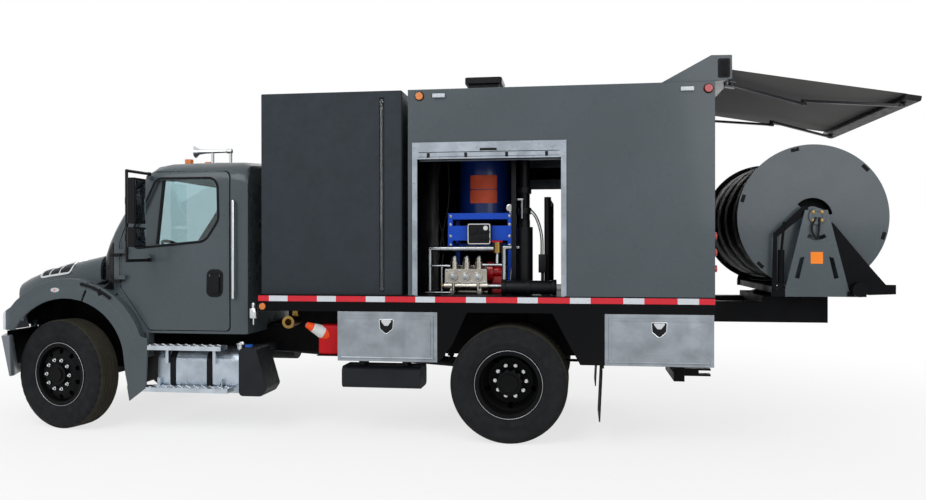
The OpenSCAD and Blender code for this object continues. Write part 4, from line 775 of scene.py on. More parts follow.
class JETTER_OT_chassis(bpy.types.Operator):
    """Frame, axles, drivetrain, tanks, steps, bumper and flaps"""

    bl_idname = "jetter.chassis"
    bl_label = "Chassis"

    def execute(self, context):
        for node in ("chassis_frame", "axles_and_springs", "left_knuckle", "right_knuckle"):
            dress(node, "chassis", 2)
        dress("drivetrain", "iron", 6)
        dress("front_bumper", "bumper", 8, segments=3)
        self.tanks()
        dress("mud_flaps", "rubber", 1.5)
        self.liners()
        return {"FINISHED"}

    def liners(self):
        """Black splash plates ahead of, behind and inside each front wheel, and a tray under the hood."""
        rail = 440
        shapes = (
            (-668, -660, 1090, 590, 932), (700, 708, 1036, 430, 985),
            (-220, 702, 447, 500, 760), (-690, -560, 960, 924, 931),
        )
        for name, side in SIDES:
            plates = []
            for front, back, reach, foot, head in shapes:
                near, far = sorted((side * rail, side * reach))
                plates.append(plate(from_front(front, near, foot), from_front(back, far, head), 2))
            fitted(joined(*plates), f"{name}_splash_plates", "truck", "black_steel", "chassis")

    def studs(self):
        """Raised grips on the two cab steps, and the fuel tank's cap."""
        grips = []
        for z, low, high in ((820, 870, 1560), (426, 870, 1630)):
            for k in range(int((high - low) / 80) + 1):
                for y in (-1155, -1110, -1065):
                    spot = from_front(low + 80 * k + (40 if y == -1110 else 0), y, z)
                    grips.append(rod(spot - Vector((0, 0, 1 * MM)), spot + Vector((0, 0, 7 * MM)), 15, 10, 2))
        fitted(joined(*grips), "step_grips", "truck", "aluminium", "chrome")
        cap = from_front(1650, -850, 799)
        up = Vector((0, 0, MM))
        lid = joined(rod(cap, cap + 22 * up, 58, 40, 5), rod(cap, cap + 34 * up, 30, 6, 4))
        fitted(lid, "fuel_cap", "truck", "bright_metal", "chrome")

    def tanks(self):
        steps = dress("fuel_tank_and_steps", "fuel", 1.5)
        tank_face = from_front(0, -1030, 0).y
        paint_where(steps, "tread", lambda c: c.y < tank_face - 0.008)
        straps = [(FRONT_AXLE_X + s * MM - 0.002, FRONT_AXLE_X + (s + 55) * MM + 0.002) for s in (1010, 1380)]
        paint_where(
            steps, "trim",
            lambda c: any(a < c.x < b for a, b in straps) and tank_face - 0.008 < c.y,
        )
        paint_where(steps, "chrome", lambda c: c.z > 0.77 and c.y > tank_face + 0.05)
        self.studs()
        tanks = dress("plastic_tanks", "plastic", 4)
        cap = from_front(1790, -1000, 800)
        paint_where(
            tanks, "blue_cap",
            lambda c: c.z > cap.z + 0.001 and (Vector((c.x, c.y)) - Vector((cap.x, cap.y))).length < 0.05,
        )


class JETTER_OT_wheels(bpy.types.Operator):
    """Rims with bright nuts and lip rings, and ribbed tyres"""

    bl_idname = "jetter.wheels"
    bl_label = "Wheels"

    def execute(self, context):
        tyre = self.tyre()
        for side in ("left", "right"):
            self.wheel(tyre, f"front_{side}", "", 1)
            self.wheel(tyre, f"rear_{side}", "s", 2)
        bpy.data.objects.remove(tyre)
        return {"FINISHED"}

    def tyre(self):
        """Radial tyre: ringed sidewalls, a rounded shoulder and a tread of five ribs."""
        r = TYRE_RADIUS / MM
        wall = [
            (285, 99), (305, 103), (318, 116), (326, 121), (334, 121), (338, 124), (372, 131), (376, 133.5),
            (382, 133.5), (386, 132), (r - 115, 135.5), (r - 70, 134.5), (r - 62, 136), (r - 54, 134),
            (r - 40, 129), (r - 24, 120), (r - 10, 110), (r - 2, 100),
        ]
        ribs = []
        groove = ((0, 0), (3, 0.5), (13, 2.5), (13, 7.5), (3, 9.5), (0, 10))
        for edge in (62, 24, -14, -52):
            ribs += [(r - deep, edge - across) for deep, across in groove]
        lining = [(285, 69), (350, 110), (r - 110, 116), (r - 40, 86)]
        inside = [(a, -b) for a, b in lining] + lining[::-1]
        piece = turned(wall + ribs + [(a, -b) for a, b in reversed(wall)] + inside, 120)
        step = math.tau / 120

        def lug(centre):
            """Every third face of the two shoulders."""
            radius = math.hypot(centre.x, centre.z) / MM
            sector = int((math.atan2(centre.z, centre.x) % math.tau) / step)
            return r - 26 < radius < r - 3 and 96 < abs(centre.y) / MM < 126 and sector % 3 == 0

        select_faces(piece, lug)
        with editing(piece, whole=False):
            bpy.ops.mesh.inset(thickness=3 * MM, depth=-5 * MM, use_boundary=True)
        return piece

    def wheel(self, tyre, end, plural, count):
        """Tyres, rims with bright nuts, brake drum and lip ring at one end of an axle."""
        rim_node, tyre_node, body = (f"{end}_{part}{plural}" for part in ("rim", "tyre", "wheel"))
        joint = JOINTS[f"{end}_spin"]
        axis = Vector(joint["axis"])
        centre = Vector(joint["pos_m"])
        out = -1 if centre.y < 0 else 1
        turn = math.atan2(-axis.x, axis.y) + (0 if out < 0 else math.pi)
        place = Matrix.Translation(centre) @ Matrix.Rotation(turn, 4, "Z")
        pitch = 335 * MM
        tyres = [copied(tyre, place @ Matrix.Translation((0, pitch * i, 0))) for i in range(count)]
        piece = fitted(joined(*tyres), tyre_node + "_ribbed", body, "tyre", "tyre", 30)
        back = place.inverted()
        worn = TYRE_RADIUS - 16 * MM
        paint_where(piece, "tread_rubber", lambda c: math.hypot((back @ c).x, (back @ c).z) > worn)
        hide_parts(tyre_node)
        rim = dress(rim_node, "chassis", 1.5)
        face = -104 if count == 1 else 145

        def nut(c):
            local = back @ c
            radius = math.hypot(local.x, local.z) / MM
            return 118 < radius < 168 and local.y / MM < face - 2 and local.y / MM > face - 60

        paint_where(rim, "chrome", nut)
        ends = (-60, 60) if count == 1 else (190, 330)
        drum = rod(place @ Vector((0, ends[0] * MM, 0)), place @ Vector((0, ends[1] * MM, 0)), 236, 48, 6)
        # The brake drum takes the bay's near-black: painted shade inside the wheel
        fitted(drum, body + "_brake_drum", body, "black_steel", "bay")
        ring = hoop(place @ Vector((0, -115 * MM, 0)), axis, 303, 3.2)
        fitted(ring, rim_node + "_lip", body, "bright_metal", "steel")


class JETTER_OT_cab(bpy.types.Operator):
    """Cab shell, glass, doors, handles, mirrors, horn and rails"""

    bl_idname = "jetter.cab"
    bl_label = "Cab"

    def execute(self, context):
        shell = dress("cab_shell", "paint", 4, segments=3)
        self.cowl(shell)
        dress("cab_glass", "glass", 0)
        dress("cab_brightwork", "chrome", 1.5)
        for name, side in SIDES:
            door = dress(f"{name}_door", "paint", 4, segments=3)
            self.division_bar(door)
            self.window_seal(door, name, side)
            self.handle_bezel(door, name, side)
            dress(f"{name}_window", "glass", 0)
            dress(f"{name}_door_handle", "trim", 3)
            dress(f"{name}_mirror", "trim", 4)
            self.mirror_glass(name, side)
        return {"FINISHED"}

    WINDOW = (
        (640, 1752, 60), (1370, 1818, 120), (1498, 2010, 120),
        (1490, 2392, 80), (900, 2392, 60), (655, 1900, 120),
    )

    def cowl(self, shell):
        """Black hinges, and a black panel between the hood and each door."""
        hinge = from_front(0, 1065, 0).y
        paint_where(shell, "trim", lambda c: abs(c.y) > hinge and c.z > 1.4)
        corners = [(296, 1262, 8), (432, 1310, 8), (432, 1816, 10), (360, 1718, 20), (296, 1626, 10)]
        for name, side in SIDES:
            rows = patch_rows(divided(softened(corners), 30))
            overlay(f"{name}_cowl_panel", "truck", "grille_black", "trim", rows, shell, 4, side, 1.5)

    def division_bar(self, door):
        """Blackens the bar that divides the door's window."""
        foot, head = from_front(875, 0, 1767), from_front(947, 0, 2410)
        along = Vector((head.x - foot.x, head.z - foot.z))

        def on_bar(c):
            step = Vector((c.x - foot.x, c.z - foot.z))
            share = step.dot(along) / along.length_squared
            return 0.04 < share < 0.95 and (step - along * share).length < 0.045

        paint_where(door, "trim", on_bar)

    def window_seal(self, door, name, side):
        line = divided(softened(self.WINDOW))
        rows = [widened(line, d) for d in (5, 14, 26)]
        overlay(f"{name}_window_seal", f"{name}_door", "grille_black", "rubber", rows, door, 6, side)

    def handle_bezel(self, door, name, side):
        corners = [(1390, 1275, 60), (1555, 1275, 60), (1562, 1540, 60), (1397, 1540, 60)]
        rows = patch_rows(divided(softened(corners), 20))
        overlay(f"{name}_handle_bezel", f"{name}_door", "grille_black", "trim", rows, door, 5, side)

    def mirror_glass(self, name, side):
        for part, low, high in (("upper", 1990, 2355), ("lower", 1768, 1914)):
            edges = sorted((side * 1328, side * 1497))
            glass = plate(from_front(923, edges[0], low), from_front(927, edges[1], high), 1.5)
            fitted(glass, f"{name}_mirror_{part}_glass", f"{name}_mirror", "bright_metal", "mirror")


class JETTER_OT_cabin(bpy.types.Operator):
    """Dashboard, seats and steering wheel"""

    bl_idname = "jetter.cabin"
    bl_label = "Cabin"

    def execute(self, context):
        room = dress("cab_interior", "cabin", 6, segments=3)
        seat_foot = from_front(1076, 0, 1341.5)

        def on_seat(centre):
            return centre.z > seat_foot.z and centre.x > seat_foot.x and 0.17 < abs(centre.y) < 0.65

        select_faces(room, on_seat)
        with editing(room, whole=False):
            bpy.ops.mesh.delete(type="FACE")
        for name, middle in (("driver", -410), ("passenger", 410)):
            self.seat(name, middle)
        dress("steering_wheel", "trim", 2)
        return {"FINISHED"}

    def seat(self, name, middle):
        """Cushion, back and headrest: lower and upper corners, half width, lean and crown."""
        pads = {
            "cushion": ((1080, 1341), (1560, 1480), 230, 0, 18),
            "back": ((1436, 1458), (1556, 2014), 230, 0.115 / 0.556, 14),
            "headrest": ((1583, 2016), (1658, 2238), 110, 0.034 / 0.222, 8),
        }
        for part, ((x0, z0), (x1, z1), half, lean, crown) in pads.items():
            low, high = from_front(x0, middle - half, z0), from_front(x1, middle + half, z1)
            piece = self.pad(low, high, lean, crown)
            fitted(piece, f"{name}_seat_{part}", "truck", "cab_trim", "seat", 70)

    def pad(self, low, high, lean, crown):
        """Crowned pad whose sides pull in, with two sewn channels, leaning back by a share of its height."""
        piece = plate(low, high, 0)
        with editing(piece):
            bpy.ops.mesh.subdivide(number_cuts=9)
        middle, half = (low + high) / 2, (high - low) / 2
        flat = 0 if half.z > half.x else 2
        for vertex in piece.data.vertices:
            share = Vector((vertex.co - middle)[i] / half[i] for i in range(3))
            others = [i for i in range(3) if i != flat]
            bulge = math.prod(1 - share[i] ** 4 for i in others)
            channel = sum(math.exp(-(((share.y - c) / 0.08) ** 2)) for c in (-0.45, 0.45))
            rise = crown * MM * (1.6 * bulge - 1.6) - 5 * MM * channel * bulge
            grown = min(half[flat] + rise, half[flat])
            if flat == 2 and share.z < 0:
                grown = half.z
            vertex.co[flat] = middle[flat] + share[flat] * grown
            for i in others:
                pull = 1 - 0.03 * (1 - share[3 - i - flat] ** 2) * abs(share[i]) - 0.04 * share[flat] ** 2
                vertex.co[i] = middle[i] + share[i] * half[i] * pull
            vertex.co.x += (vertex.co.z - low.z) * lean
        return modified(piece, "SUBSURF", levels=1, render_levels=1)


class JETTER_OT_hood(bpy.types.Operator):
    """Hood with its fenders, grille and headlamps"""

    bl_idname = "jetter.hood"
    bl_label = "Hood"

    def execute(self, context):
        hood = dress("hood", "paint", 5, segments=3)
        lamps = dress("grille_and_lamps", "trim", 3)
        paint_where(lamps, "clear", lambda c: abs(c.y) > 0.7)
        mesh = plate(from_front(-798, -590, 946), from_front(-794, 590, 1276), 1)
        fitted(mesh, "grille_mesh", "hood", "grille_black", "rubber")
        for name, side in SIDES:
            self.intake(hood, name, side)
            self.fender_lamp(name, side)
            self.fender_lips(name, side)
            self.latch(name, side)
        return {"FINISHED"}

    def intake(self, hood, name, side):
        """Bright bezel round a dark mesh in three bays."""
        corners = [(-520, 1446, 22), (-150, 1502, 25), (-128, 1570, 22), (-165, 1592, 22), (-490, 1520, 25)]
        line = divided(softened(corners), 25)
        rings = [widened(line, d) for d in (0, 10, 20)]
        overlay(f"{name}_intake_bezel", "hood", "bright_metal", "chrome", rings, hood, 14, side, 4)
        rows = patch_rows(line)
        overlay(f"{name}_intake_mesh", "hood", "grille_black", "trim", rows, hood, 3, side, 0)
        for k, x in enumerate((-405, -280)):
            foot = 1446 + (x + 520) * 0.151
            rows = patch_rows(divided(bare(x - 7, foot, x + 7, foot + 80), 25))
            overlay(f"{name}_intake_rib_{k}", "hood", "bright_metal", "chrome", rows, hood, 8, side)

    # Middle of the fender's own arch, and of the lip inside it
    ARCH = Vector((27, 660))
    LIP = Vector((0, 645))

    def on_arch(self, radius, angle):
        return self.ARCH + polar(radius, angle)

    def on_lip(self, angle):
        return self.LIP + polar(612, angle)

    def fender_lips(self, name, side):
        """Inner band of the wheel arch, split like the fender between the hood and the cab."""
        front = [self.on_arch(712, a) for a in range(75, 154, 6)] + [Vector((-620, 946))]
        front += [self.on_lip(a) for a in (150.5, *range(144, 77, -6), 74)]
        rear = [self.on_arch(712, a) for a in range(73, 14, -6)]
        rear += [Vector(p) for p in ((722, 829), (664, 450), (650, 425), (626, 540))]
        rear += [self.on_lip(a) for a in (*range(12, 73, 6), 72.5)]
        face = side * 1172
        for part, outline, body in (("front", front, "hood"), ("rear", rear, "truck")):
            band = sheet_of([from_front(p.x, face, p.y) for p in outline], Vector((0, -side * 24 * MM, 0)))
            fitted(rounded(band, 5, 3), f"{name}_{part}_arch_lip", body, "paint_grey", "paint")

    def latch(self, name, side):
        """Rubber latch over the joint between the hood's fender and the cab's."""
        strap = pipe([from_front(*self.side_place(a, side)) for a in (78, 74, 70, 66, 62, 58, 54)], 13)
        ends = [bolt(from_front(*self.side_place(a, side)), Vector((0, side, 0)), 13) for a in (78, 54)]
        fitted(joined(strap, *ends), f"{name}_hood_latch", "hood", "flap_rubber", "rubber", 60)

    def side_place(self, angle, side):
        spot = self.on_arch(752, angle)
        return spot.x, side * 1178, spot.y

    def fender_lamp(self, name, side):
        """Oval side lamp on the crown of the fender."""
        spot = from_front(-97, side * 1166, 1338)
        lamp = rod(spot, spot + Vector((0, side * 12 * MM, 0)), 23, 40, 4)
        stretch = Matrix.Diagonal((2, 1, 1, 1))
        lamp.data.transform(Matrix.Translation(spot) @ stretch @ Matrix.Translation(-spot))
        fitted(lamp, f"{name}_fender_lamp", "hood", "glass", "clear")
        bulb = rod(spot, spot + Vector((0, side * 14 * MM, 0)), 11, 24, 3)
        fitted(bulb, f"{name}_fender_bulb", "hood", "lamp_red", "amber")


class JETTER_OT_deck(bpy.types.Operator):
    """Deck, reflective tape and the toolboxes with their doors"""

    bl_idname = "jetter.deck"
    bl_label = "Deck"

    def execute(self, context):
        dress("bed_deck", "chassis", 3)
        dress("toolboxes", "aluminium", 2)
        for place in ("front", "rear"):
            dress(f"{place}_toolbox_door", "aluminium", 2)
            dress(f"{place}_toolbox_latch", "chrome", 1.5)
            self.door_panel(place)
        for side in (-1, 1):
            self.tape(side)
        return {"FINISHED"}

    def door_panel(self, place):
        """Cross-broken sheet: creases run from a slightly raised middle to the corners."""
        low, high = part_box(f"{place}_toolbox_door")
        face = low.y
        rim = 24 * MM
        bpy.ops.mesh.primitive_plane_add(
            size=1, location=((low.x + high.x) / 2, face - 0.5 * MM, (low.z + high.z) / 2),
            rotation=(math.pi / 2, 0, 0),
        )
        panel = bpy.context.object
        panel.scale = (high.x - low.x - 2 * rim, high.z - low.z - 2 * rim, 1)
        settle(panel)
        with editing(panel):
            bpy.ops.mesh.inset(thickness=10 * MM)
            bpy.ops.mesh.poke(offset=7 * MM)
        modified(panel, "SOLIDIFY", thickness=2 * MM, offset=-1)
        body = f"{place}_toolbox_door"
        panel = fitted(panel, f"{place}_toolbox_panel", body, "aluminium", "aluminium", 0.5)
        centre = Vector(((low.x + high.x) / 2, 0, from_rear(0, 0, 1076).z))
        shield = [(-62, 18, 10), (62, 18, 10), (56, -60, 18), (0, -108, 24), (-56, -60, 18)]
        line = divided(softened(shield), 12)
        rows = patch_rows(line)
        overlay(f"{place}_latch_dish", body, "grille_black", "trim", rows, panel, 4, edge=1, origin=centre)
        rings = [widened(line, d) for d in (0, 4, 8)]
        overlay(f"{place}_latch_rim", body, "bright_metal", "chrome", rings, panel, 8, origin=centre)

    def tape(self, side):
        """Alternate red and silver blocks along the deck's edge."""
        sizes = size_settings()
        name = "left" if side < 0 else "right"
        top = DECK_HIGH.z - 8 * MM
        face = side * SIDE_Y
        x = DECK_LOW.x
        length = 104 * MM
        red = True
        blocks = {True: [], False: []}
        while x < DECK_HIGH.x - 1 * MM:
            end = min(x + length, DECK_HIGH.x)
            low = Vector((x, min(face, face + side * 0.9 * MM), top - sizes.tape_height))
            high = Vector((end, max(face, face + side * 0.9 * MM), top))
            blocks[red].append(plate(low, high, 0.3, 1))
            x = end
            red = not red
            length = sizes.tape_red_length if red else sizes.tape_silver_length
        fitted(joined(*blocks[True]), f"{name}_tape_red", "truck", "lamp_red", "tape_red")
        fitted(joined(*blocks[False]), f"{name}_tape_silver", "truck", "aluminium", "tape_silver")


class JETTER_OT_body(bpy.types.Operator):
    """Water tank, box body, shutters and lamps"""

    bl_idname = "jetter.body"
    bl_label = "Tank and body"

    def execute(self, context):
        dress("water_tank", "tank", 3)
        shell = dress("body_shell", "paint", 5, segments=3)
        inside = SIDE_Y - 8 * MM
        # Inside of the box body in the bay's near-black: painted shade
        paint_where(
            shell, "bay",
            lambda c: abs(c.y) < inside and BODY_LOW.x + 0.01 < c.x and c.z < BODY_HIGH.z - 0.2,
        )
        roof = from_rear(0, 0, 3158).z
        paint_where(shell, "trim", lambda c: c.z > roof)
        frames = dress("shutter_frames", "frame_bar", 0.8, segments=1)
        # Inner faces of the shutter frames in the bay's near-black: painted shade
        paint_where(frames, "bay", lambda c: abs(c.y) < SIDE_Y - 3 * MM)
        for name, side in SIDES:
            dress(f"{name}_shutter", "slat", 1.5)
            self.header(frames, name, side)
        lamps = dress("marker_lamps", "amber", 3, segments=3)
        tail = from_rear(1600, 0, 0).x
        paint_where(lamps, "red", lambda c: c.x > tail)
        bars = [from_rear(x, 0, 0).x for x in (-614, 1766 - 232)]
        paint_where(lamps, "clear", lambda c: any(abs(c.x - b) < 0.07 for b in bars) and c.z > 3)
        out = Vector((0, 1, 0))
        rings = [hoop(from_rear(x, y, 3094), out, 37, 5, 48) for x in (-791, 1710) for y in (-1222, 1222)]
        fitted(joined(*rings), "marker_bezels", "truck", "grille_black", "rubber")
        return {"FINISHED"}

    def header(self, frames, name, side):
        """Seams, clips and a hand slot on the box that the shutter winds into."""
        low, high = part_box("shutter_frames")
        start, end = (low.x - REAR_AXLE.x) / MM + 60, (high.x - REAR_AXLE.x) / MM - 60
        span = end - start
        seams = [bare(start, 2588, end, 2593), bare(start, 2548, end, 2551)]
        places = [start + span * share for share in (0.06, 0.33, 0.62, 0.9)]
        clips = [bare(x, 2543, x + 26, 2584) for x in places]
        slot = bare(start + span * 0.44, 2600, start + span * 0.56, 2622)
        marks = []
        for outline in (*seams, *clips, slot):
            marks.append(laid(patch_rows(divided(outline, 60)), REAR_AXLE, frames, 3, side))
        fitted(joined(*marks), f"{name}_shutter_clips", "truck", "grille_black", "trim")


class JETTER_OT_pump_bay(bpy.types.Operator):
    """Pump, drive, heater, control panel and pipes"""

    bl_idname = "jetter.pump_bay"
    bl_label = "Pump bay"

    def execute(self, context):
        pump = dress("jet_pump", "bronze", 3)
        end = from_rear(-628, 0, 0).x
        paint_where(pump, "brass", lambda c: c.x < end)
        self.pump_caps()
        dress("pump_drive", "drive", 3)
        heater = dress("heater_unit", "heater", 3)
        drum = from_rear(0, 0, 2071).z
        paint_where(heater, "drum", lambda c: c.z > drum)
        self.plaques(heater)
        self.controls(dress("control_panel", "trim", 2))
        self.pipes(dress("plumbing", "steel", 1.5))
        self.runs()
        self.masts()
        # Dark wall behind the pump in the bay's near-black: painted shade
        wall = plate(from_rear(-808, -142, DECK_HIGH.z / MM), from_rear(128, -132, BODY_TOP / MM - 45), 2)
        fitted(wall, "bay_bulkhead", "truck", "black_steel", "bay")
        return {"FINISHED"}

    def pipes(self, pipes):
        """Clear level tube, brass valve with a red lever, brass fill pipe and black masts."""
        floor = DECK_HIGH.z
        tube = from_rear(-1154, -1156, 0)
        valve = from_rear(-136.7, -790, 0)
        fill, masts = from_rear(-1985, 0, 0).x, from_rear(44, 0, 0).x
        paint_where(
            pipes, "clear_tube",
            lambda c: abs(c.x - tube.x) < 0.014 and abs(c.y - tube.y) < 0.014 and 1.38 < c.z < 3.06,
        )

        def near(c):
            return math.hypot(c.x - valve.x, c.y - valve.y)

        paint_where(pipes, "brass", lambda c: c.x < fill or (near(c) < 0.046 and c.z > floor + 0.379))
        paint_where(pipes, "can", lambda c: near(c) < 0.07 and c.z > floor + 0.4795)
        paint_where(pipes, "trim", lambda c: c.x > masts)

    # Front end of the pump's fluid end from the rear axle, and its length
    PUMP_START = -632
    PUMP_LENGTH = 415

    def pump_caps(self):
        """Hexagon valve caps, plunger plugs and tie bolts on the fluid end."""
        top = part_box("jet_pump")[1].z / MM
        face = top - 333
        heads = []
        for share in (0.22, 0.5, 0.78):
            x = self.PUMP_START + self.PUMP_LENGTH * share
            heads.append(bolt(from_rear(x, -810, top), Vector((0, 0, 1)), 20))
            heads.append(bolt(from_rear(x, -895, face + 160), Vector((0, -1, 0)), 24))
        for share in (0.08, 0.36, 0.64, 0.92):
            x = self.PUMP_START + self.PUMP_LENGTH * share
            for z in (108, 212):
                heads.append(bolt(from_rear(x, -860, face + z), Vector((0, -1, 0)), 9))
        fitted(joined(*heads), "pump_caps", "truck", "pump_steel", "steel")

    def runs(self):
        """Pipes and hoses round the pump that the solids leave out."""
        floor = DECK_HIGH.z / MM
        runs = {
            "bypass": ("steel", 14, [(-755, -810, 1570), (-560, -810, 1570)]),
            "bypass_drop": ("steel", 12, [(-660, -810, floor), (-660, -810, 1572)]),
            "drain": ("steel", 9, [(-800, -890, floor + 12), (-566, -890, floor + 12)]),
            "delivery": ("steel", 15, [(-300, -810, 1580), (-84, -826, 1580)]),
            "delivery_riser": ("steel", 17, [(-136.7, -810, 1580), (-136.7, -790, floor + 390)]),
            "gauge_line": ("steel", 7, [
                (-20, -700, 2085), (20, -712, 1960), (26, -720, 1760), (-18, -760, 1480), (-30, -760, floor),
            ]),
            "left_cable": ("rubber", 8, [
                (-700, -640, 2600), (-775, -640, 2150), (-640, -680, 1800), (-660, -800, 1585),
            ]),
            "right_cable": ("rubber", 8, [
                (-640, -600, 2600), (-600, -600, 2250), (-690, -660, 1850), (-700, -805, 1580),
            ]),
            "clear_hose": ("clear_tube", 15, [
                (150, -800, 2105), (214, -830, 2060), (264, -830, 1930), (286, -830, 1800), (280, -825, 1670),
            ]),
        }
        for name, (finish, radius, points) in runs.items():
            run = pipe([from_rear(*p) for p in points], radius, smooth=len(points) > 2)
            slot = "hose_rubber" if finish == "rubber" else "pump_steel"
            fitted(run, "bay_" + name, "truck", slot, finish, 60)
        dial = joined(
            rod(from_rear(-25, -690, 2117), from_rear(-25, -722, 2117), 34, 40, 3),
            rod(from_rear(-25, -700, 2069), from_rear(-25, -700, 2090), 9),
        )
        fitted(dial, "heater_gauge", "truck", "bright_metal", "chrome")
        face = rod(from_rear(-25, -721, 2117), from_rear(-25, -724, 2117), 28, 40, 0.5)
        fitted(face, "heater_gauge_face", "truck", "tank_plastic", "white")

    def masts(self):
        """Black post, riser, valve block and filter at the bay's rear."""
        floor, ceiling = DECK_HIGH.z / MM, BODY_TOP / MM - 45
        filter_z = floor + 72
        shapes = {
            "post": plate(from_rear(5, -915, floor), from_rear(48, -872, ceiling), 3),
            "riser": rod(from_rear(120, -790, floor + 678), from_rear(120, -790, ceiling), 42),
            "riser_clamps": joined(*(
                rod(from_rear(120, -790, z), from_rear(120, -790, z + 60), 62) for z in (2050, 2240)
            )),
            "valve_block": joined(
                plate(from_rear(250, -862, 1510), from_rear(322, -782, 1680), 6),
                plate(from_rear(272, -842, floor), from_rear(300, -802, 1512), 3),
            ),
            "filter": joined(
                rod(from_rear(-50, -1040, filter_z), from_rear(400, -1040, filter_z), 62, 48, 8),
                *(
                    rod(from_rear(x, -1040, filter_z), from_rear(x + 40, -1040, filter_z), 71, 48, 4)
                    for x in (-72, 150, 380)
                ),
            ),
        }
        for name, piece in shapes.items():
            fitted(piece, "bay_" + name, "truck", "black_steel", "trim")
        tee = joined(
            pipe([from_rear(60, -856, 2186), from_rear(110, -856, 2186)], 13, smooth=False),
            pipe([from_rear(100, -856, 2186), from_rear(100, -852, 2010)], 11, smooth=False),
            rod(from_rear(100, -852, 2075), from_rear(100, -820, 2075), 12),
        )
        fitted(tee, "bay_sample_tee", "truck", "pump_steel", "steel")

    def plaques(self, heater):
        """Two plain plaques on the drum, and bolts on the stand."""
        for name, low, high in (("upper", 2300, 2432), ("lower", 2165, 2292)):
            rows = patch_rows(divided(softened(slab(-410, low, -155, high, 8)), 25))
            piece = f"heater_{name}_plaque"
            overlay(piece, "truck", "heater_blue", "plaque", rows, heater, 3, edge=0.8, origin=REAR_AXLE)
        out = Vector((0, -1, 0))
        heads = [bolt(from_rear(x, -690, z), out, 11) for x in (-596, -29) for z in (1765, 1850, 1960, 2040)]
        fitted(joined(*heads), "heater_stand_bolts", "truck", "pump_steel", "steel")

    def controls(self, panel):
        """White border and dial on the control panel."""
        line = divided(softened(slab(-414, 1778, -208, 1962, 16)), 20)
        rings = [widened(line, d) for d in (-4, 4)]
        overlay("panel_border", "truck", "grille_black", "white", rings, panel, 2, edge=0, origin=REAR_AXLE)
        rows = patch_rows(oval(-248, 1925, 44, 44))
        overlay("panel_dial", "truck", "grille_black", "white", rows, panel, 8, origin=REAR_AXLE)


class JETTER_OT_reel(bpy.types.Operator):
    """Carriage, stand, drum and the wound hose"""

    bl_idname = "jetter.reel"
    bl_label = "Hose reel"

    def execute(self, context):
        dress("reel_carriage", "chassis", 3)
        stand = dress("reel_stand", "paint", 3)
        face = -1070 * MM
        plate_end = REEL_AXIS.x + 264 * MM
        paint_where(stand, "chassis", lambda c: face < c.y < -face or c.x > plate_end)
        drum = dress("reel_drum", "paint", 3)
        between = 940.5 * MM
        paint_where(drum, "chassis", lambda c: abs(c.y) < between)
        self.pads()
        self.hose()
        self.fittings(stand)
        return {"FINISHED"}

    def fittings(self, stand):
        """Plain orange plaque and brass bearing bolts on the stand's near plate."""
        rows = patch_rows(divided(bare(-50, 1602, 50, 1702), 25))
        below = Vector((REEL_AXIS.x, 0, 0))
        plain = {"edge": 0, "origin": below}
        overlay("stand_plaque", "reel_stand", "paint_grey", "orange_panel", rows, stand, 2, **plain)
        out = Vector((0, -1, 0))
        heads = []
        for k in range(4):
            a = math.radians(45 + 90 * k)
            spot = REEL_AXIS + Vector((math.cos(a), 0, math.sin(a))) * 50 * MM
            heads.append(bolt(Vector((spot.x, -1102 * MM, spot.z)), out, 11))
        fitted(joined(*heads), "bearing_bolts", "reel_stand", "bright_metal", "brass")
        drops = {
            "front": [(-12, -8), (-52, -70), (-44, -150), (-6, -196)],
            "rear": [(14, -10), (16, -90), (-2, -196)],
        }
        for name, drop in drops.items():
            route = [REEL_AXIS + Vector((x * MM, -1108 * MM, z * MM)) for x, z in drop]
            fitted(pipe(route, 8), f"bearing_{name}_hose", "reel_stand", "hose_rubber", "hose", 60)

    def pads(self):
        """Rubber pads in the six slots near the rim of each flange."""
        pads = []
        for k in range(6):
            turn = Matrix.Rotation(math.radians(-44 - 60 * k), 4, "Y")
            for side in (-1, 1):
                edges = sorted((side * 941, side * 949))
                low, high = Vector((588.5, edges[0], -32.5)), Vector((617.5, edges[1], 32.5))
                pad = plate(low * MM, high * MM, 1.5)
                pad.data.transform(Matrix.Translation(REEL_AXIS) @ turn)
                pads.append(pad)
        fitted(joined(*pads), "flange_pads", "reel_drum", "flap_rubber", "rubber")

    def hose(self):
        """Outer layer of hose: one helix between the divider and the far flange, lying close."""
        low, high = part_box("hose_winding")
        radius = size_settings().hose_diameter / 2
        path = (high.z - low.z) / 2 - radius
        pitch = 2 * radius + 1.0 * MM
        start = low.y + radius + 3 * MM
        turns = int((high.y - radius - 3 * MM - start) / pitch)
        steps = 28
        points = []
        for k in range(turns * steps + 1):
            a = math.tau * k / steps
            along = start + pitch * k / steps
            points.append(REEL_AXIS + Vector((path * math.cos(a), along, path * math.sin(a))))
        winding = pipe(points, radius / MM, sides=2, smooth=False)
        ends = [Vector((REEL_AXIS.x, y, REEL_AXIS.z)) for y in (low.y, high.y)]
        core = rod(*ends, (path - radius) / MM, 72, 0)
        fitted(joined(winding, core), "wound_hose", "reel_drum", "hose_rubber", "hose", 60)
        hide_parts("hose_winding")


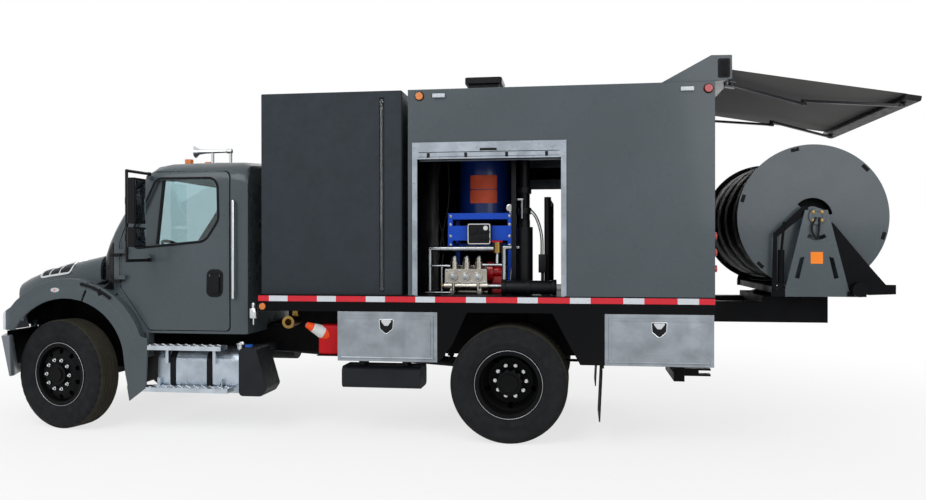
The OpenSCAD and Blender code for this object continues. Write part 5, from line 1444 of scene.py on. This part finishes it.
class JETTER_OT_awning(bpy.types.Operator):
    """Housing, arms, lead rail and the stretched cloth"""

    bl_idname = "jetter.awning"
    bl_label = "Awning"

    def execute(self, context):
        housing = dress("awning_housing", "paint", 4, segments=3)
        self.end_lamps(housing)
        for node in ("left_upper_arm", "left_forearm", "right_upper_arm", "right_forearm"):
            dress("awning_" + node, "arm", 3)
        dress("lead_rail", "trim", 4)
        self.cloth()
        return {"FINISHED"}

    def end_lamps(self, housing):
        """Black work lamp let into each end of the housing."""
        for name, side in SIDES:
            for part, inset, depth, finish in (("frame", 0, 5, "trim"), ("lens", 14, 9, "rubber")):
                corners = slab(1789 + inset, 3183 + inset, 1890 - inset, 3347 - inset, 16)
                rows = patch_rows(divided(softened(corners), 25))
                lamp = f"{name}_work_lamp_{part}"
                overlay(lamp, "truck", "grille_black", finish, rows, housing, depth, side, origin=REAR_AXLE)

    def cloth(self):
        """Cloth from the roller to the lead rail, sagging a little between them."""
        low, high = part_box("awning_fabric")
        corners = [v.co for v in frame["nodes"]["awning_fabric"].data.vertices]
        near = max(v.z for v in corners if v.x < low.x + 0.05)
        far = max(v.z for v in corners if v.x > high.x - 0.05)
        bpy.ops.mesh.primitive_grid_add(x_subdivisions=28, y_subdivisions=20, size=1)
        piece = bpy.context.object
        sag = 14 * MM
        for vertex in piece.data.vertices:
            along = vertex.co.x + 0.5
            across = vertex.co.y
            drop = sag * math.sin(math.pi * along) * math.cos(math.pi * across * 0.9)
            height = near + (far - near) * along - drop - 1 * MM
            vertex.co = Vector((low.x + along * (high.x - low.x), across * (high.y - low.y), height))
        modified(piece, "SOLIDIFY", thickness=2 * MM, offset=0)
        piece = fitted(piece, "awning_cloth", "truck", "awning_cloth", "cloth", 60)
        piece.data.materials.append(FINISH["cloth_top"])
        for face in piece.data.polygons:
            face.material_index = int(face.normal.z > 0.3)
        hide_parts("awning_fabric")
        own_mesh(piece)


class JETTER_OT_carried(bpy.types.Operator):
    """Traffic cone and red container carried ahead of the front toolbox"""

    bl_idname = "jetter.carried"
    bl_label = "Cone and container"

    def execute(self, context):
        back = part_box("toolboxes")[0].x - 3 * MM
        can = plate(Vector((back - 0.22, -1.10, 0.75)), Vector((back, -0.86, 1.03)), 28, 5)
        shelf = plate(Vector((back - 0.23, -1.11, 0.742)), Vector((back + 2 * MM, -0.85, 0.75)), 1)
        fitted(can, "red_container", "truck", "engine_red", "can")
        fitted(shelf, "container_shelf", "truck", "black_steel", "chassis")
        self.canister()
        tip = from_rear(-1863, -1165, 1036)
        foot = from_rear(-1640, -985, 900)
        self.cone(tip, foot)
        return {"FINISHED"}

    def canister(self):
        """Bright canister on a bracket at the deck's front."""
        edge = DECK_LOW.x
        place = Vector((edge - 58 * MM, -1190 * MM, 0))
        body = joined(
            rod(place + Vector((0, 0, 1.09)), place + Vector((0, 0, 1.185)), 38, 32, 10),
            rod(place + Vector((0, 0, 1.18)), place + Vector((0, 0, 1.235)), 16),
            rod(place + Vector((0, 0, 1.03)), place + Vector((0, 0, 1.095)), 7),
        )
        fitted(body, "front_canister", "truck", "bright_metal", "chrome")
        bracket = plate(Vector((edge - 90 * MM, -1.205, 1.232)), Vector((edge + 1 * MM, -1.172, 1.24)), 1)
        fitted(bracket, "canister_bracket", "truck", "black_steel", "chassis")

    def cone(self, tip, foot):
        along = (foot - tip).normalized()
        length = (foot - tip).length / MM
        outline = [(22, 0), (26, 4)]
        outline += [(26 + 0.22 * t, t) for t in (0.2 * length, 0.55 * length, 0.75 * length, length)]
        outline += [(22 + 0.22 * length, length), (18, 6)]
        cone = turned(outline, 48)
        turn = along.to_track_quat("Y", "Z").to_matrix().to_4x4()
        cone.data.transform(Matrix.Translation(tip) @ turn)
        fitted(cone, "traffic_cone", "truck", "engine_red", "orange")
        reach = length * MM
        paint_where(cone, "white", lambda c: 0.2 < (c - tip).dot(along) / reach < 0.55)


class JETTER_PT_panel(bpy.types.Panel):
    """Lists the steps that dress the jetter"""

    bl_idname = "JETTER_PT_panel"
    bl_label = "Drain jetter"
    bl_space_type = "VIEW_3D"
    bl_region_type = "UI"
    bl_category = "Jetter"

    def draw(self, context):
        for group in (context.scene.jetter_finish, context.scene.jetter_sizes):
            for key in group.__annotations__:
                self.layout.prop(group, key)
        for operator in OPERATORS:
            self.layout.operator(operator.bl_idname)


OPERATORS = (
    JETTER_OT_stage, JETTER_OT_chassis, JETTER_OT_wheels, JETTER_OT_cab, JETTER_OT_cabin, JETTER_OT_hood,
    JETTER_OT_deck, JETTER_OT_body, JETTER_OT_pump_bay, JETTER_OT_reel, JETTER_OT_awning, JETTER_OT_carried,
)
CLASSES = (JetterFinish, JetterSizes, *OPERATORS, JETTER_PT_panel)


def register():
    for cls in CLASSES:
        bpy.utils.register_class(cls)
    bpy.types.Scene.jetter_finish = bpy.props.PointerProperty(type=JetterFinish)
    bpy.types.Scene.jetter_sizes = bpy.props.PointerProperty(type=JetterSizes)


def unregister():
    del bpy.types.Scene.jetter_finish
    del bpy.types.Scene.jetter_sizes
    for cls in reversed(CLASSES):
        bpy.utils.unregister_class(cls)


def main():
    register()
    pick(*frame["nodes"].values())
    bpy.ops.object.select_all(action="DESELECT")
    for operator in OPERATORS:
        getattr(bpy.ops.jetter, operator.bl_idname.split(".")[1])()


if __name__ == "__main__":
    main()
